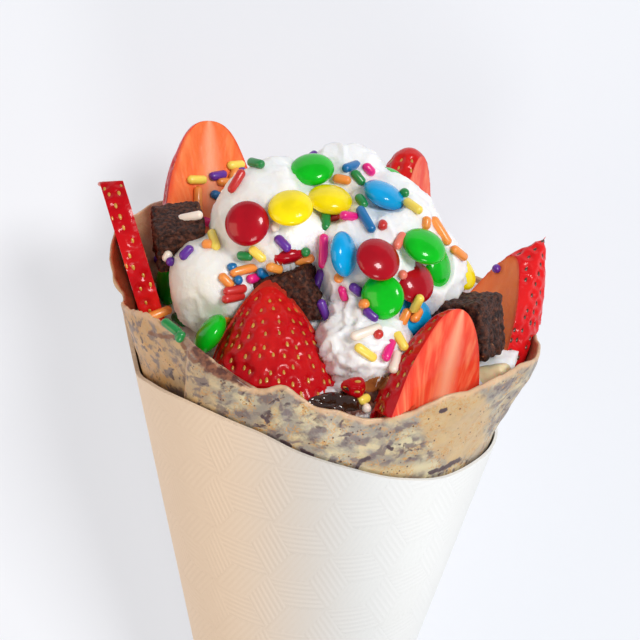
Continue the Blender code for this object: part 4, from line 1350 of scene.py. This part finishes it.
SPREADS = {
    "chocolate_sauce": (Spread((337, 403), (29, 9), -6, 1.8), Spread((346, 394), (9, 5), 30, 1.2)),
    "caramel": (Spread((377, 384), (16, 6.5), 12, 1.0),),
}
SPREAD_LOOKS = {
    "chocolate_sauce": {
        "Base_Color": (0.035, 0.010, 0.004), "Roughness": 0.15, "Coat_Weight": 0.8, "Coat_Roughness": 0.04},
    "caramel": {
        "Base_Color": (0.42, 0.14, 0.035), "Roughness": 0.3, "Coat_Weight": 0.5, "Coat_Roughness": 0.1},
}
SPREAD_RINGS = 12
SPREAD_COLUMNS = 48
SPREAD_REACH = 2.5
SPREAD_SINK = 0.4


def spread_part(spread, trees):
    """A low dome that lies on whatever is seen under it, as points in metres."""
    degrees = math.radians(spread.degrees)
    middle = seen_surface(spread.pixel, trees)[0]
    depth = (middle - EYE).length
    rise = (UP * 0.7 + BACK * 0.7).normalized()
    top = []
    bottom = []
    for ring in range(SPREAD_RINGS + 1):
        for column in range(SPREAD_COLUMNS if ring else 1):
            turn = 2 * math.pi * column / SPREAD_COLUMNS
            share = ring / SPREAD_RINGS
            wavy = 1 + 0.25 * noise.noise(Vector((math.cos(turn), math.sin(turn), spread.pixel[0])))
            across = share * wavy * spread.halves[0] * math.cos(turn)
            along = share * wavy * spread.halves[1] * math.sin(turn)
            pixel = (spread.pixel[0] + across * math.cos(degrees) + along * math.sin(degrees),
                     spread.pixel[1] - across * math.sin(degrees) + along * math.cos(degrees))
            found = seen_surface(pixel, trees)
            far = (found[0] - EYE).length if found else depth
            far = min(max(far, depth - SPREAD_REACH), depth + SPREAD_REACH)
            place = EYE + sight(pixel) * far
            lift = spread.height * math.sqrt(max(0.0, 1 - share ** 2.5)) - 0.1
            top.append(on_table(place + rise * lift))
            bottom.append(on_table(place - rise * SPREAD_SINK))
    below = []
    for ring in range(SPREAD_RINGS):
        start = len(bottom) - (ring + 1) * SPREAD_COLUMNS
        below.extend(bottom[start:start + SPREAD_COLUMNS])
    return top + below + bottom[:1], ring_faces(2 * SPREAD_RINGS, SPREAD_COLUMNS)


def make_spreads(trees):
    """Chocolate sauce and caramel between the front strawberries."""
    for name, spots in SPREADS.items():
        graph = Graph(name)
        graph.set(**SPREAD_LOOKS[name])
        points, faces, _ = joined([spread_part(spot, trees) for spot in spots])
        add_piece(name, points, faces, graph.material)


def beside_cream(pixel):
    """The place on the cream nearest to a line of sight that passes it by."""
    offsets = [point - CREAM_CENTRE for point in along_sight(pixel, 70, 0.5, 240)]
    nearest = min(offsets, key=lambda offset: offset.length - cream_reach(offset.normalized()))
    outward = nearest.normalized()
    return CREAM_CENTRE + outward * cream_reach(outward), outward


def heading_seen(pixel, degrees, outward):
    """The direction along a surface that is seen at an angle to the horizontal."""
    direction = sight(pixel)
    angle = math.radians(degrees)
    wanted = math.cos(angle) * RIGHT + math.sin(angle) * UP
    return wanted + direction * wanted.dot(outward) / max(-direction.dot(outward), SPRINKLE_STEEPEST)


def sprinkle_part(place, outward, heading, length, unit, bow):
    """One sugar strand with round ends, bowed a little, as points in metres."""
    heading = heading - heading.dot(outward) * outward
    turn = basis(heading, outward)
    half = max(length / 2 - SPRINKLE_RADIUS, 0.0)
    middle = place + outward * SPRINKLE_LIFT
    points = []
    for x, y, z in unit:
        share = y * SPRINKLE_RADIUS + math.copysign(half, y)
        curve_out = bow * (1 - (share / (half + SPRINKLE_RADIUS)) ** 2)
        local = Vector((x * SPRINKLE_RADIUS + curve_out, share, z * SPRINKLE_RADIUS))
        points.append(on_table(middle + turn @ local))
    return points


def make_sprinkles(trees):
    """All the sprinkles as one piece, each with its colour."""
    draw = random.Random(11)
    unit, faces = ball_points(10, 12)
    parts = []
    colours = []
    for colour, x, y, degrees, length in SPRINKLES:
        place, outward = seen_surface((x, y), trees) or beside_cream((x, y))
        if outward.dot(BACK) < SPRINKLE_STEEPEST:
            outward = (outward + BACK).normalized()
        heading = heading_seen((x, y), degrees, outward)
        bow = draw.uniform(-SPRINKLE_BOW, SPRINKLE_BOW)
        parts.append((sprinkle_part(place, outward, heading, length * PIXEL, unit, bow), faces))
        colours.append(SPRINKLE_COLOURS[colour])
    far = random.Random(7)
    for number in range(FAR_SPRINKLES):
        direction = cream_bearing(far.uniform(*FAR_BEARINGS), far.uniform(*FAR_DOWN))
        heading = Vector((far.uniform(-1, 1), far.uniform(-1, 1), far.uniform(-1, 1)))
        length = far.uniform(*FAR_LENGTHS)
        place = CREAM_CENTRE + direction * cream_reach(direction)
        parts.append((sprinkle_part(place, direction, heading, length, unit, 0.0), faces))
        colours.append(list(SPRINKLE_COLOURS.values())[number % len(SPRINKLE_COLOURS)])
    points, faces, owners = joined(parts)
    graph = Graph("sprinkles")
    graph.set(Base_Color=graph.read("colour"), Roughness=0.35, Subsurface_Weight=0.1,
              Subsurface_Scale=0.001, Coat_Weight=0.35, Coat_Roughness=0.2)
    return add_piece("sprinkles", points, faces, graph.material, None, ["cream"],
                     colour=[colours[owner] for owner in owners])


# Floor, light and camera.
FLOOR_SIZE = 6.0
FLOOR_COLOUR = (0.36, 0.37, 0.39)
FLOOR_GLOW = (0.88, 0.90, 0.95)
FLOOR_GLOW_STRENGTH = 0.54
SKY_COLOUR = (0.90, 0.94, 1.0)
SKY_STRENGTH = 0.32
LIGHT_TARGET = Vector((0, 0.06, 0.04))
LIGHTS = (
    ("key", (1.2, 1.0, 2.2), 52.0, 0.8, (1.0, 0.99, 0.98)),
    ("fill", (-0.7, -0.1, 0.35), 1.75, 0.5, (1.0, 0.77, 0.54)),
    ("front", (0.4, -1.5, 1.3), 13.0, 0.7, (1.0, 0.98, 0.96)),
)


def add_light(name, place, power, size, colour):
    """A soft square light that looks at the crepe's mouth."""
    light = bpy.data.lights.new(name, "AREA")
    light.energy = power
    light.size = size
    light.color = colour
    obj = placed(name, light)
    obj.location = Vector(place)
    obj.rotation_euler = (LIGHT_TARGET - obj.location).to_track_quat("-Z", "Y").to_euler()


def make_stage():
    """A pale lit floor and soft light: strong from the right and above, weaker and warm from the left."""
    mesh = bpy.data.meshes.new("floor")
    reach = FLOOR_SIZE / 2
    corners = [(-reach, -reach, 0), (reach, -reach, 0), (reach, reach, 0), (-reach, reach, 0)]
    mesh.from_pydata(corners, [], [(0, 1, 2, 3)])
    graph = Graph("floor")
    graph.set(Base_Color=FLOOR_COLOUR, Roughness=0.9, Emission_Color=FLOOR_GLOW,
              Emission_Strength=FLOOR_GLOW_STRENGTH)
    mesh.materials.append(graph.material)
    floor = placed("floor", mesh)
    world = bpy.data.worlds.new("studio")
    world.use_nodes = True
    sky = world.node_tree.nodes["Background"].inputs
    sky["Color"].default_value = (*SKY_COLOUR, 1)
    sky["Strength"].default_value = SKY_STRENGTH
    bpy.context.scene.world = world
    for light in LIGHTS:
        add_light(*light)
    bpy.context.scene.view_settings.view_transform = "Standard"


def make_camera():
    """The photograph's view, which looks down on the lying crepe."""
    data = bpy.data.cameras.new("camera")
    data.sensor_width = SENSOR_MM
    data.lens = SENSOR_MM * EYE_DISTANCE / (2 * PHOTO_MIDDLE * PIXEL)
    camera = placed("camera", data)
    matrix = Matrix((RIGHT, UP, BACK)).transposed().to_4x4()
    camera.matrix_world = laid_down(Matrix.Translation(EYE) @ matrix)
    bpy.context.scene.camera = camera


def main():
    """Stage and camera first, then the pieces, and last the small things that lie on them."""
    draw = random.Random(3)
    make_camera()
    make_stage()
    make_sleeve()
    shown = [make_crepe(), make_cream()]
    berry_skin = strawberry_material()
    seeds = []
    for name, berry in BERRIES.items():
        piece, found = make_strawberry(name, berry, berry_skin, draw)
        shown.append(piece)
        seeds.extend(found)
    make_seeds(seeds, draw)
    brownie = brownie_material()
    banana = banana_material()
    for name, (size, pose) in CUBES.items():
        shown.append(make_cube(name, size, pose, brownie if name.startswith("brownie") else banana))
    shells = {colour: candy_material(colour) for colour in CANDY_COLOURS}
    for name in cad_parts:
        if name.startswith("candy"):
            shown.append(make_candy(name, shells[name.split("_")[1]]))
    trees = trees_of(shown)
    make_spreads(trees)
    make_sprinkles(trees)


main()
